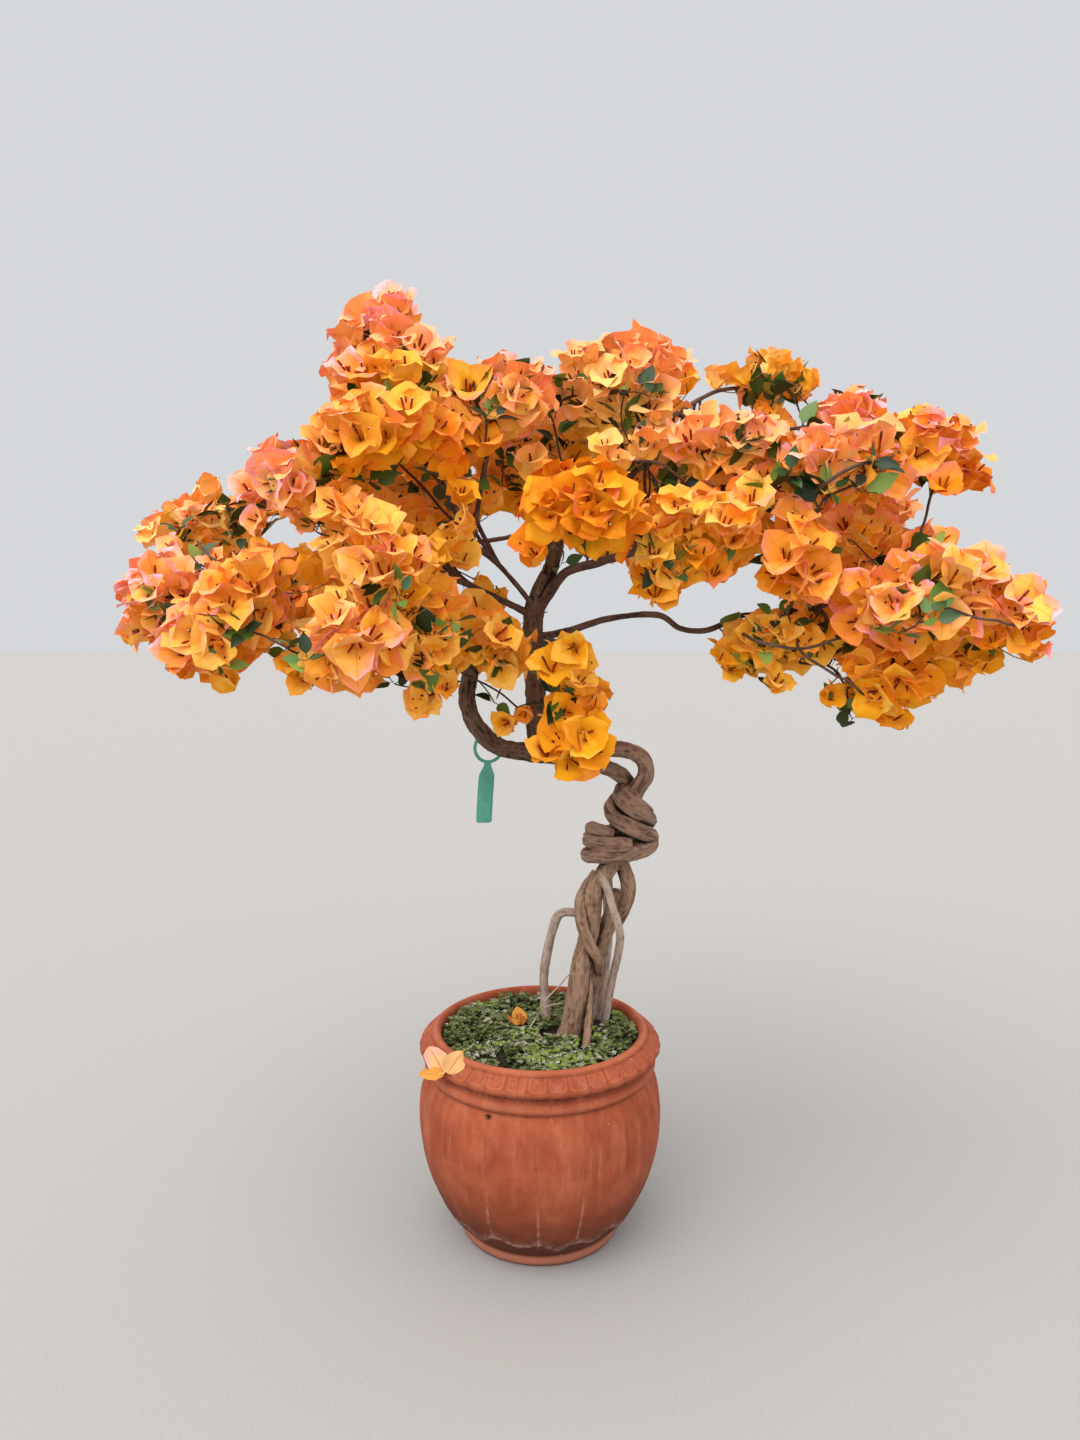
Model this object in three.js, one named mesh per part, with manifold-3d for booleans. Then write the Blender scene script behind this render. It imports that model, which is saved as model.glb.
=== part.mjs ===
// Bougainvillea bush trained as a twisted standard, in its terracotta pot.
// Millimetres, +Z up. The origin is the middle of the pot's flat underside,
// the bush's best side faces -Y, and the crown is widest along X.
import * as THREE from 'three';
import { mergeVertices } from 'three/addons/utils/BufferGeometryUtils.js';
import Module from 'manifold-3d';

const wasm = await Module();
wasm.setup();

// ---------------------------------------------------------------- sizes
const GAP = 0.35;               // clearance between touching pieces

const POT_HEIGHT = 254;         // underside to lip
const POT_FOOT_R = 98;          // flat underside
const POT_BELLY_R = 149;        // widest turn of the body
const POT_NECK_R = 137;         // waist under the rim
const POT_BEAD_R = 142;         // round bead under the rim band
const POT_BAND_R = 148.5;       // lower edge of the embossed rim band
const POT_LIP_R = 131.5;        // outer edge of the lip
const POT_MOUTH_R = 121.5;      // inner edge of the lip
const POT_WALL = 10;
const POT_FLOOR = 18;           // thickness of the bottom
const POT_LOBES = 16;           // upright lobes parted by creases
const POT_CREASE = 1.6;         // depth of a crease
const SOIL_EDGE_Z = 238;        // soil level at the pot wall
const SOIL_TOP_Z = 243;         // soil level at the stems

const STEM_SIDES = 8;           // faces round a limb
const BOXY = 2.7;               // 2 is a ball; more fills its corners
const TAG_LENGTH = 77;
const TAG_WIDTH = 20;
const TAG_THICKNESS = 1.2;

const BARK = 0x7b6557;
const BARK_DARK = 0x4f3d34;
const ROOT_TAN = 0x9a8473;
const TERRACOTTA = 0xb4532f;
const SOIL = 0x2f2419;
const TAG_GREEN = 0x3fb093;
const GOLD = 0xf0902e;
const CORAL = 0xee7a4c;

// ---------------------------------------------------------------- helpers
function random(seed) {
  let a = seed >>> 0;
  return () => {
    a = (a + 0x6d2b79f5) >>> 0;
    let t = Math.imul(a ^ (a >>> 15), 1 | a);
    t = (t + Math.imul(t ^ (t >>> 7), 61 | t)) ^ t;
    return ((t ^ (t >>> 14)) >>> 0) / 4294967296;
  };
}

function bare(geometry) {
  const g = geometry.clone();
  g.deleteAttribute('normal');
  g.deleteAttribute('uv');
  return mergeVertices(g, 1e-3);
}

function toSolid(geometry) {
  const g = bare(geometry);
  return new wasm.Manifold(new wasm.Mesh({
    numProp: 3,
    vertProperties: new Float32Array(g.attributes.position.array),
    triVerts: new Uint32Array(g.index.array),
  }));
}

function toGeometry(solid) {
  const mesh = solid.getMesh();
  const g = new THREE.BufferGeometry();
  g.setAttribute('position', new THREE.BufferAttribute(new Float32Array(mesh.vertProperties), 3));
  g.setIndex(new THREE.BufferAttribute(new Uint32Array(mesh.triVerts), 1));
  return g;
}

// The biggest body that is left when a solid has been cut.
function mainBody(solid) {
  const bodies = solid.decompose();
  let best = bodies[0];
  for (const body of bodies) if (body.volume() > best.volume()) best = body;
  return best;
}

const vec = (p) => new THREE.Vector3(p[0], p[1], p[2]);

// One tapering limb: a cylinder bent along a curve. Its radius falls from
// `from` to `to`, with a swelling of `flare` that dies away from the start.
function limbGeometry({ curve, from, to, flare = 0, step = 2 }, grow = 0) {
  const length = curve.getLength();
  const steps = Math.max(3, Math.round(length / (step * (from + to))));
  const frames = curve.computeFrenetFrames(steps, false);
  const g = new THREE.CylinderGeometry(1, 1, 1, STEM_SIDES, steps);
  const position = g.attributes.position;
  const point = new THREE.Vector3();
  for (let i = 0; i < position.count; i += 1) {
    const t = THREE.MathUtils.clamp(position.getY(i) + 0.5, 0, 1);
    const k = Math.round(t * steps);
    const r = THREE.MathUtils.lerp(from, to, t) + flare * Math.exp(-t * length / 14) + grow;
    curve.getPointAt(t, point);
    const end = grow * (t < 1e-6 ? -1 : t > 1 - 1e-6 ? 1 : 0);
    point.addScaledVector(frames.normals[k], position.getX(i) * r);
    point.addScaledVector(frames.binormals[k], -position.getZ(i) * r);
    point.addScaledVector(frames.tangents[k], end);
    position.setXYZ(i, point.x, point.y, point.z);
  }
  return g;
}

// A way through a few named places of the limb.
const through = (...places) => new THREE.CatmullRomCurve3(places.map(vec), false, 'centripetal');

// A turn of a strand round an upright axis, rising steadily. Angles in
// degrees: 180 is the left end, 270 the front, 360 the right end.
function turn({ x, y, rx, ry, z0, z1, a0, a1 }) {
  const places = [];
  const n = Math.max(4, Math.round(Math.abs(a1 - a0) / 40));
  for (let i = 0; i <= n; i += 1) {
    const f = i / n;
    const a = THREE.MathUtils.degToRad(a0 + (a1 - a0) * f);
    places.push([x + rx * Math.cos(a), y + ry * Math.sin(a), z0 + (z1 - z0) * f]);
  }
  return through(...places);
}

// One uneven mass of foliage: a faceted ball with seeded lumps, brought to
// its half sizes and then leaned about the view axis.
function massGeometry({ at, half, lean = 0, seed, detail = 1 }, grow = 0) {
  const next = random(seed);
  const g = bare(new THREE.IcosahedronGeometry(1, detail));
  const lumps = [];
  for (let i = 0; i < 7; i += 1) {
    const z = 2 * next() - 1;
    const a = 2 * Math.PI * next();
    const s = Math.sqrt(1 - z * z);
    lumps.push({ way: new THREE.Vector3(s * Math.cos(a), s * Math.sin(a), z), size: 0.08 + 0.24 * next() });
  }
  const position = g.attributes.position;
  const p = new THREE.Vector3();
  for (let i = 0; i < position.count; i += 1) {
    p.fromBufferAttribute(position, i).normalize();
    // A little squarer than a ball, then roughened and lumped.
    const q = Math.pow(Math.abs(p.x) ** BOXY + Math.abs(p.y) ** BOXY + Math.abs(p.z) ** BOXY, -1 / BOXY);
    let r = q * (0.9 + 0.14 * (next() - 0.5));
    for (const lump of lumps) {
      const near = Math.max(0, p.dot(lump.way) - 0.45) / 0.55;
      r += lump.size * near * near * (3 - 2 * near);
    }
    p.multiplyScalar(r);
    position.setXYZ(i, p.x, p.y, p.z);
  }
  g.computeBoundingBox();
  const middle = g.boundingBox.getCenter(new THREE.Vector3());
  const size = g.boundingBox.getSize(new THREE.Vector3());
  g.translate(-middle.x, -middle.y, -middle.z);
  g.scale(2 * (half[0] + grow * 1.6) / size.x, 2 * (half[1] + grow * 1.6) / size.y, 2 * (half[2] + grow * 1.6) / size.z);
  g.rotateY(THREE.MathUtils.degToRad(lean));
  g.translate(at[0], at[1], at[2]);
  return g;
}

// ---------------------------------------------------------------- pot
const profile = (pairs) => pairs.map(([r, z]) => new THREE.Vector2(r, z));

const potOutside = [
  [0, 0],
  [POT_FOOT_R, 0],
  [POT_FOOT_R, 12],
  [POT_FOOT_R + 5, 15],
  [POT_BELLY_R - 36, 27],
  [POT_BELLY_R - 22, 52],
  [POT_BELLY_R - 7, 92],
  [POT_BELLY_R, 150],
  [POT_BELLY_R - 2, 178],
  [POT_NECK_R + 0.5, 204],
  [POT_BEAD_R, 209],
  [POT_BEAD_R, 220],
  [POT_NECK_R + 1, 228],
  [POT_BAND_R, 233],
  [POT_BAND_R - 1, 238],
  [POT_LIP_R + 1, 250],
  [POT_LIP_R - 2, POT_HEIGHT],
];
const potInside = [
  [POT_MOUTH_R + 1, POT_HEIGHT],
  [POT_MOUTH_R, POT_HEIGHT - 4],
  [POT_BELLY_R - POT_WALL, 168],
  [POT_BELLY_R - POT_WALL - 7, 92],
  [POT_FOOT_R - POT_WALL + 4, POT_FLOOR + 4],
  [POT_FOOT_R - POT_WALL, POT_FLOOR],
  [0, POT_FLOOR],
];

// Lathes turn about Y; the pot stands up along Z. Every other vertex of the
// body lies in a crease between two lobes.
function lathe(points, segments) {
  const g = new THREE.LatheGeometry(profile(points), segments);
  g.rotateX(Math.PI / 2);
  return g;
}

function potSolid() {
  const g = lathe([...potOutside, ...potInside], 2 * POT_LOBES);
  const position = g.attributes.position;
  for (let i = 0; i < position.count; i += 1) {
    const x = position.getX(i);
    const y = position.getY(i);
    const z = position.getZ(i);
    const r = Math.hypot(x, y);
    const onBody = z > 16 && z < 200 && r > POT_BELLY_R - 40 && r > radiusAt(potOutside, z) - 2;
    const turnIndex = Math.round((Math.atan2(x, -y) / (2 * Math.PI)) * 2 * POT_LOBES);
    if (onBody && Math.abs(turnIndex) % 2 === 0) {
      const k = (r - POT_CREASE) / r;
      position.setXY(i, x * k, y * k);
    }
  }
  return toSolid(g);
}

function radiusAt(points, z) {
  for (let i = 1; i < points.length; i += 1) {
    const [r0, z0] = points[i - 1];
    const [r1, z1] = points[i];
    if (z1 > z0 && z >= z0 && z <= z1) return r0 + ((r1 - r0) * (z - z0)) / (z1 - z0);
  }
  return 0;
}

function soilSolid(grow = 0) {
  const wallAt = (z) => radiusAt([...potInside].reverse(), z) - GAP;
  const points = [
    [0, POT_FLOOR + GAP],
    [POT_FOOT_R - POT_WALL, POT_FLOOR + GAP],
    [wallAt(92), 92],
    [wallAt(168), 168],
    [wallAt(SOIL_EDGE_Z), SOIL_EDGE_Z + grow],
    [60, SOIL_TOP_Z + grow],
    [0, SOIL_TOP_Z + grow],
  ];
  return toSolid(lathe(points, 2 * POT_LOBES));
}

// ---------------------------------------------------------------- stems
// Each strand rises from the soil, and they wind round one another.
const stems = {
  stem_front: {
    curve: through([34, -5, 236], [44, -7, 288], [51, -8, 335], [62, -2, 385], [67, 0, 420], [90, 4, 464]),
    from: 13, to: 11.5, flare: 3.5, color: BARK,
  },
  stem_middle: {
    curve: through([54, 25, 236], [62, 17, 300], [75, 15, 347], [86, 17, 380], [93, 22, 400]),
    from: 11.5, to: 10, flare: 2.5, color: BARK,
  },
  stem_back: {
    curve: through([76, 49, 236], [80, 44, 285], [84, 41, 335], [86, 38, 385], [84, 28, 448]),
    from: 7.5, to: 6.5, flare: 1.5, color: ROOT_TAN,
  },
  stem_loop_right: {
    curve: through([99, 21, 386], [107, 14, 408], [109, 11, 424], [104, 13, 444], [97, 16, 460]),
    from: 9.5, to: 9.5, color: BARK,
  },
  stem_crossing: {
    curve: through([58, 14, 426], [50, 2, 412], [50, -20, 388], [60, -26, 364], [71, -14, 340]),
    from: 6.5, to: 6, color: ROOT_TAN,
  },
  aerial_root_left_lower: {
    curve: through([9, 30, 236], [5, 26, 307], [13, 24, 356], [20, 21, 380]),
    from: 6, to: 5.6, flare: 1, color: ROOT_TAN,
  },
  aerial_root_left_upper: {
    curve: through([22, 20.5, 385], [29, 18.5, 390], [45, 14, 391]),
    from: 5.6, to: 5.4, color: ROOT_TAN,
  },
  aerial_root_right: {
    curve: through([80, -13, 432], [89, -17, 403], [97, -14, 371], [95, -6, 344], [90, 6, 312], [80, 27, 236]),
    from: 4.8, to: 4.8, color: ROOT_TAN,
  },
  knot_core: {
    curve: through([92, 5, 468], [98, 8, 505], [112, 8, 545]),
    from: 13, to: 12, color: BARK,
  },
  knot_coil_low: {
    curve: turn({ x: 97, y: 4, rx: 38, ry: 27, z0: 463, z1: 484, a0: 130, a1: 400 }),
    from: 9, to: 9, color: BARK,
  },
  knot_coil_middle: {
    curve: turn({ x: 93, y: 4, rx: 30, ry: 25, z0: 488, z1: 484, a0: 60, a1: 300 }),
    from: 11, to: 10, color: BARK,
  },
  knot_rope_low: {
    curve: turn({ x: 111, y: 4, rx: 25, ry: 25, z0: 541, z1: 486, a0: 90, a1: 370 }),
    from: 8, to: 9, color: BARK,
  },
  knot_rope_high: {
    curve: turn({ x: 115, y: 4, rx: 19, ry: 21, z0: 548, z1: 505, a0: 140, a1: 380 }),
    from: 8, to: 8.5, color: BARK,
  },
  neck_over: {
    curve: through([116, 4, 545], [128, 2, 566], [124, 2, 584], [107, 2, 595], [82, 2, 597], [58, 2, 592]),
    from: 10, to: 9.5, color: BARK,
  },
  neck_under: {
    curve: through([110, 22, 548], [97, 17, 565], [79, 14, 573], [58, 12, 576]),
    from: 9.5, to: 9, color: BARK,
  },
  trunk_bridge: {
    curve: through([60, 3, 586], [26, 1, 590], [-10, 0, 594], [-46, 0, 599]),
    from: 14, to: 9.5, color: BARK_DARK,
  },
  trunk_upper: {
    curve: through([1, 0, 592], [-5, 0, 641], [-5, 0, 678], [-9, 0, 709], [-9, 0, 740], [-6, 1, 768]),
    from: 12.5, to: 11, flare: 3, color: BARK_DARK,
  },
  limb_up: {
    curve: through([-6, 2, 768], [1, 5, 789], [12, 2, 811], [20, -30, 838]),
    from: 10, to: 7.5, color: BARK_DARK,
  },
  limb_right: {
    curve: through([2, -6, 768], [15, -9, 789], [31, -10, 807], [66, -14, 818], [117, -22, 831], [176, -36, 838]),
    from: 8, to: 4, color: BARK_DARK,
  },
  bough_left_low: {
    curve: through([-46, 0, 599], [-61, 0, 608], [-79, 0, 630], [-86, 0, 654], [-85, -4, 676], [-78, -22, 700]),
    from: 10, to: 9, color: BARK_DARK,
  },
  bough_left_high: {
    curve: through([-12, -2, 758], [-46, -10, 775], [-71, -30, 787], [-104, -86, 802]),
    from: 5, to: 4, color: BARK_DARK,
  },
  bough_up_left: {
    curve: through([-8, -8, 768], [-28, -20, 793], [-48, -40, 815], [-79, -92, 840]),
    from: 4.4, to: 3, color: BARK_DARK,
  },
  bough_right_low: {
    curve: through([0, -3, 731], [41, -4, 741], [77, -4, 752], [141, -8, 757], [164, -15, 742], [194, -25, 740], [226, -42, 756], [258, -66, 758]),
    from: 5, to: 3, step: 2.6, color: BARK_DARK,
  },
};

// ---------------------------------------------------------------- masses
// Middle and half sizes of each mass, front of the crown first.
const masses = {
  mass_top_left_crest: { at: [-172, -60, 1070], half: [38, 46, 45], lean: -24, seed: 51, detail: 1 },
  mass_top_left: { at: [-167, -70, 1023], half: [69, 78, 51], lean: 17, seed: 148, detail: 2 },
  mass_upper_left: { at: [-160, -140, 945], half: [90, 82, 50], lean: -10, seed: 506, detail: 2 },
  mass_left_shoulder: { at: [-259, -130, 897], half: [54, 66, 35], lean: 34, seed: 332, detail: 1 },
  mass_upper_middle: { at: [-34, -60, 999], half: [58, 80, 50], lean: 21, seed: 2, detail: 2 },
  mass_centre_left: { at: [-156, -190, 819], half: [72, 82, 50], lean: 23, seed: 743, detail: 2 },
  mass_back_left: { at: [-427, 130, 867], half: [76, 84, 47], lean: -19, seed: 365, detail: 1 },
  mass_left_tip: { at: [-425, -50, 776], half: [51, 66, 55], lean: -3, seed: 452, detail: 1 },
  mass_left_pad: { at: [-325, -110, 759], half: [83, 88, 63], lean: -16, seed: 681, detail: 2 },
  mass_left_front: { at: [-186, -210, 731], half: [60, 68, 47], lean: -4, seed: 446, detail: 2 },
  mass_left_low: { at: [-106, -150, 724], half: [35, 56, 69], lean: 14, seed: 245, detail: 1 },
  mass_left_inner: { at: [-49, -85, 725], half: [37, 52, 39], lean: 8, seed: 659, detail: 1 },
  mass_centre: { at: [39, -190, 863], half: [63, 76, 53], lean: -10, seed: 137, detail: 2 },
  mass_top_middle: { at: [100, 0, 1013], half: [84, 76, 75], lean: 9, seed: 194, detail: 2 },
  mass_back_top_right: { at: [309, 190, 1073], half: [62, 66, 33], lean: 6, seed: 14, detail: 1 },
  mass_right_upper: { at: [205, -50, 940], half: [67, 78, 39], lean: -15, seed: 39, detail: 1 },
  mass_right_middle: { at: [171, -120, 847], half: [69, 82, 47], lean: -10, seed: 819, detail: 2 },
  mass_right_droop: { at: [123, -140, 804], half: [33, 42, 38], lean: -2, seed: 47, detail: 1 },
  mass_right_top: { at: [358, 0, 987], half: [44, 60, 40], lean: -5, seed: 252, detail: 1 },
  mass_far_right_upper: { at: [417, -90, 934], half: [61, 70, 51], lean: -6, seed: 209, detail: 1 },
  mass_right_cluster: { at: [316, -120, 910], half: [68, 78, 47], lean: -8, seed: 437, detail: 2 },
  mass_right_small: { at: [267, -140, 817], half: [43, 56, 55], lean: -8, seed: 921, detail: 1 },
  mass_far_right: { at: [390, -160, 783], half: [81, 86, 56], lean: -1, seed: 881, detail: 2 },
  mass_far_right_low: { at: [391, -100, 705], half: [75, 76, 54], lean: -28, seed: 372, detail: 1 },
  mass_right_tip: { at: [473, -180, 759], half: [30, 44, 44], lean: -2, seed: 624, detail: 1 },
  mass_right_low: { at: [262, -75, 727], half: [66, 54, 41], lean: 5, seed: 727, detail: 1 },
  mass_front_flower: { at: [29, -95, 713], half: [30, 38, 30], lean: 10, seed: 391, detail: 1 },
  mass_front_cluster: { at: [37, -90, 632], half: [41, 48, 61], lean: 7, seed: 506, detail: 1 },
  mass_rear_upper_left: { at: [-154, 110, 1004], half: [100, 96, 70], lean: 0, seed: 670, detail: 1 },
  mass_rear_middle_left: { at: [-152, 40, 862], half: [96, 96, 66], lean: 0, seed: 441, detail: 1 },
  mass_rear_left_low: { at: [-303, 110, 780], half: [120, 96, 46], lean: 0, seed: 753, detail: 1 },
  mass_rear_centre: { at: [14, 125, 926], half: [96, 96, 70], lean: 0, seed: 318, detail: 1 },
  mass_rear_right: { at: [212, 165, 922], half: [104, 102, 66], lean: 0, seed: 679, detail: 1 },
  mass_rear_right_far: { at: [399, 80, 830], half: [96, 92, 80], lean: 0, seed: 825, detail: 1 },
};

// ---------------------------------------------------------------- tag
// A loop through which the end of the tag is drawn, round the left bough.
function tagSolid() {
  const blade = new THREE.Shape();
  const w = TAG_WIDTH / 2;
  const neck = 4;
  blade.moveTo(-w, 0);
  blade.lineTo(w, 0);
  blade.lineTo(w, TAG_LENGTH - 20);
  blade.lineTo(neck, TAG_LENGTH - 4);
  blade.absarc(0, TAG_LENGTH + 15, 19.5, -Math.PI / 2 + 0.22, Math.PI * 1.5 - 0.22, false);
  blade.lineTo(-neck, TAG_LENGTH - 4);
  blade.lineTo(-w, TAG_LENGTH - 20);
  blade.closePath();
  const eye = new THREE.Path();
  eye.absarc(0, TAG_LENGTH + 15, 15.5, 0, Math.PI * 2, true);
  blade.holes.push(eye);
  const g = new THREE.ExtrudeGeometry(blade, { depth: TAG_THICKNESS, bevelEnabled: false, curveSegments: 7 });
  g.translate(0, 0, -TAG_THICKNESS / 2);
  g.rotateX(Math.PI / 2);
  g.rotateZ(THREE.MathUtils.degToRad(22));
  g.rotateY(THREE.MathUtils.degToRad(4));
  g.translate(-68, -1, 508);
  return toSolid(g);
}

// ---------------------------------------------------------------- build
const material = (color, roughness) => new THREE.MeshStandardMaterial({ color, roughness, metalness: 0 });
const built = [];               // what later pieces are cut by

function clear(solid) {
  let left = solid;
  const box = (s) => s.boundingBox();
  for (const other of built) {
    const a = box(left);
    const b = box(other);
    const apart = [0, 1, 2].some((k) => a.max[k] < b.min[k] || b.max[k] < a.min[k]);
    if (!apart) left = left.subtract(other);
  }
  return mainBody(left);
}

function piece(name, solid, cutter, color, roughness) {
  const own = clear(solid);
  built.push(cutter);
  const g = toGeometry(own);
  g.computeBoundingBox();
  const at = g.boundingBox.getCenter(new THREE.Vector3());
  at.set(Math.round(at.x), Math.round(at.y), Math.round(at.z));
  g.translate(-at.x, -at.y, -at.z);
  const mesh = new THREE.Mesh(g, material(color, roughness));
  mesh.name = name;
  mesh.position.copy(at);
  return mesh;
}

const plant = new THREE.Group();
plant.name = 'bougainvillea_bush';

const container = new THREE.Group();
const pot = potSolid();
container.add(piece('pot', pot, pot, TERRACOTTA, 0.8));
container.add(piece('soil', soilSolid(), soilSolid(GAP), SOIL, 1));

const wood = new THREE.Group();
const addLimb = (name) => {
  const spec = stems[name];
  wood.add(piece(name, toSolid(limbGeometry(spec)), toSolid(limbGeometry(spec, GAP)), spec.color, 0.9));
};
const FIRST = [
  'stem_front', 'stem_middle', 'stem_back', 'knot_core', 'stem_loop_right', 'stem_crossing',
  'aerial_root_left_lower', 'aerial_root_left_upper', 'aerial_root_right',
  'knot_coil_low', 'knot_coil_middle', 'knot_rope_low', 'knot_rope_high',
  'neck_over', 'neck_under', 'trunk_bridge', 'trunk_upper', 'limb_up', 'limb_right', 'bough_left_low',
];
FIRST.forEach(addLimb);

const crown = new THREE.Group();
Object.entries(masses).forEach(([name, spec], i) => {
  const shape = spec;
  crown.add(piece(name, toSolid(massGeometry(shape)), toSolid(massGeometry(shape, GAP)), i % 3 ? GOLD : CORAL, 0.9));
});

// These end where they meet a mass.
['bough_left_high', 'bough_up_left', 'bough_right_low'].forEach(addLimb);

const tag = tagSolid();
const label = piece('plant_tag', tag, tag, TAG_GREEN, 0.5);

plant.add(container, wood, crown, label);

export default plant;
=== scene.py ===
"""Looks of the potted bougainvillea bush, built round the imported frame.

Metres, +Z up, the pot's underside at the origin, the bush's best side facing -Y.
"""
import math

import bpy
import numpy as np
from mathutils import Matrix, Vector
from mathutils.bvhtree import BVHTree


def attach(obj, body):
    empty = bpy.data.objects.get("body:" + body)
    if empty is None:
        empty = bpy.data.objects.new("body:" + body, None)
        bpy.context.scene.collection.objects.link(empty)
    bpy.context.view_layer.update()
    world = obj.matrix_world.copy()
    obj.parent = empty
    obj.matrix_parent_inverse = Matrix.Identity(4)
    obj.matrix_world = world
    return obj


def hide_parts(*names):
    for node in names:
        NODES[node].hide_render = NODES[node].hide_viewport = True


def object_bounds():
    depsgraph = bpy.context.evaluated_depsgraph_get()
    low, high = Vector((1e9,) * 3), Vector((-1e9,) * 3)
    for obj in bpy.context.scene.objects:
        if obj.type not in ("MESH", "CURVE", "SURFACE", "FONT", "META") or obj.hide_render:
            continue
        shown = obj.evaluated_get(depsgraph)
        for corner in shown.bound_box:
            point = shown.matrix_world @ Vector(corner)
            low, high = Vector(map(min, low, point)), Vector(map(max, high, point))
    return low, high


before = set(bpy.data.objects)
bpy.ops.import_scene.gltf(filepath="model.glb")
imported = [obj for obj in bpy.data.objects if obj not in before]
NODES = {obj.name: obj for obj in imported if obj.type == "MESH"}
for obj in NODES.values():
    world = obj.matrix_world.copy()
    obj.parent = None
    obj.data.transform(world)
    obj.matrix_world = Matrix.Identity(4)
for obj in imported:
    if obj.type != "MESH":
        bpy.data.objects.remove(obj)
CAD_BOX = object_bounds()
MM = 0.001

# ------------------------------------------------------------------ camera
# The photograph's lens and height: 1.20 m in front of the pot's middle, lens
# 0.768 m above the ground, tipped down 6.4 degrees.
cam_data = bpy.data.cameras.new("camera")
cam_data.lens = 25.25
cam_data.sensor_width = 36.0
cam_data.clip_start = 0.05
cam_data.clip_end = 100.0
cam = bpy.data.objects.new("camera", cam_data)
cam.location = (0.0, -1.20, 0.768)
cam.rotation_euler = (math.radians(90 - 6.44), 0.0, 0.0)
bpy.context.scene.collection.objects.link(cam)
bpy.context.scene.camera = cam

# Lens numbers again, for pieces that are placed where the picture shows them.
FOCAL = 1010.0
PITCH = math.radians(6.44)


def seen(x, y, depth_y):
    """The point at picture place (x, y) that lies at world Y depth_y, in metres."""
    cx = (x - 540.0) / FOCAL
    cz = (720.0 - y) / FOCAL
    dy = math.cos(PITCH) + cz * math.sin(PITCH)
    dz = -math.sin(PITCH) + cz * math.cos(PITCH)
    t = (depth_y + 1.20) / dy
    return np.array([cx * t, depth_y, 0.768 + dz * t])


def shown(p):
    """The picture place of world points p (..., 3)."""
    v = np.asarray(p, float) - np.array([0.0, -1.20, 0.768])
    depth = v[..., 1] * math.cos(PITCH) - v[..., 2] * math.sin(PITCH)
    rise = v[..., 1] * math.sin(PITCH) + v[..., 2] * math.cos(PITCH)
    return np.stack([540.0 + FOCAL * v[..., 0] / depth, 720.0 - FOCAL * rise / depth], -1)


# ------------------------------------------------------------------ noise
def _hash(ix, iy, iz, seed):
    h = (
        ix.astype(np.uint32) * np.uint32(374761393)
        + iy.astype(np.uint32) * np.uint32(668265263)
        + iz.astype(np.uint32) * np.uint32(2246822519)
        + np.uint32((seed * 3266489917) & 0xFFFFFFFF)
    )
    h = (h ^ (h >> np.uint32(13))) * np.uint32(1274126177)
    h = (h ^ (h >> np.uint32(16))) * np.uint32(2654435761)
    return ((h >> np.uint32(8)) & np.uint32(0xFFFF)).astype(np.float64) / 65535.0


def noise(p, seed=0):
    """Smooth noise from -1 to 1 at points p (..., 3), one lump a unit."""
    p = np.asarray(p, float)
    i = np.floor(p).astype(np.int64)
    f = p - i
    u = f * f * (3 - 2 * f)
    out = 0.0
    for dx in (0, 1):
        wx = u[..., 0] if dx else 1 - u[..., 0]
        for dy in (0, 1):
            wy = u[..., 1] if dy else 1 - u[..., 1]
            for dz in (0, 1):
                wz = u[..., 2] if dz else 1 - u[..., 2]
                out = out + wx * wy * wz * _hash(i[..., 0] + dx, i[..., 1] + dy, i[..., 2] + dz, seed)
    return 2 * out - 1


def fbm(p, octaves=3, seed=0):
    p = np.asarray(p, float)
    out, amp, total = 0.0, 1.0, 0.0
    for k in range(octaves):
        out = out + amp * noise(p * 2.03**k + 7.1 * k, seed + 17 * k)
        total += amp
        amp *= 0.5
    return out / total


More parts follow.
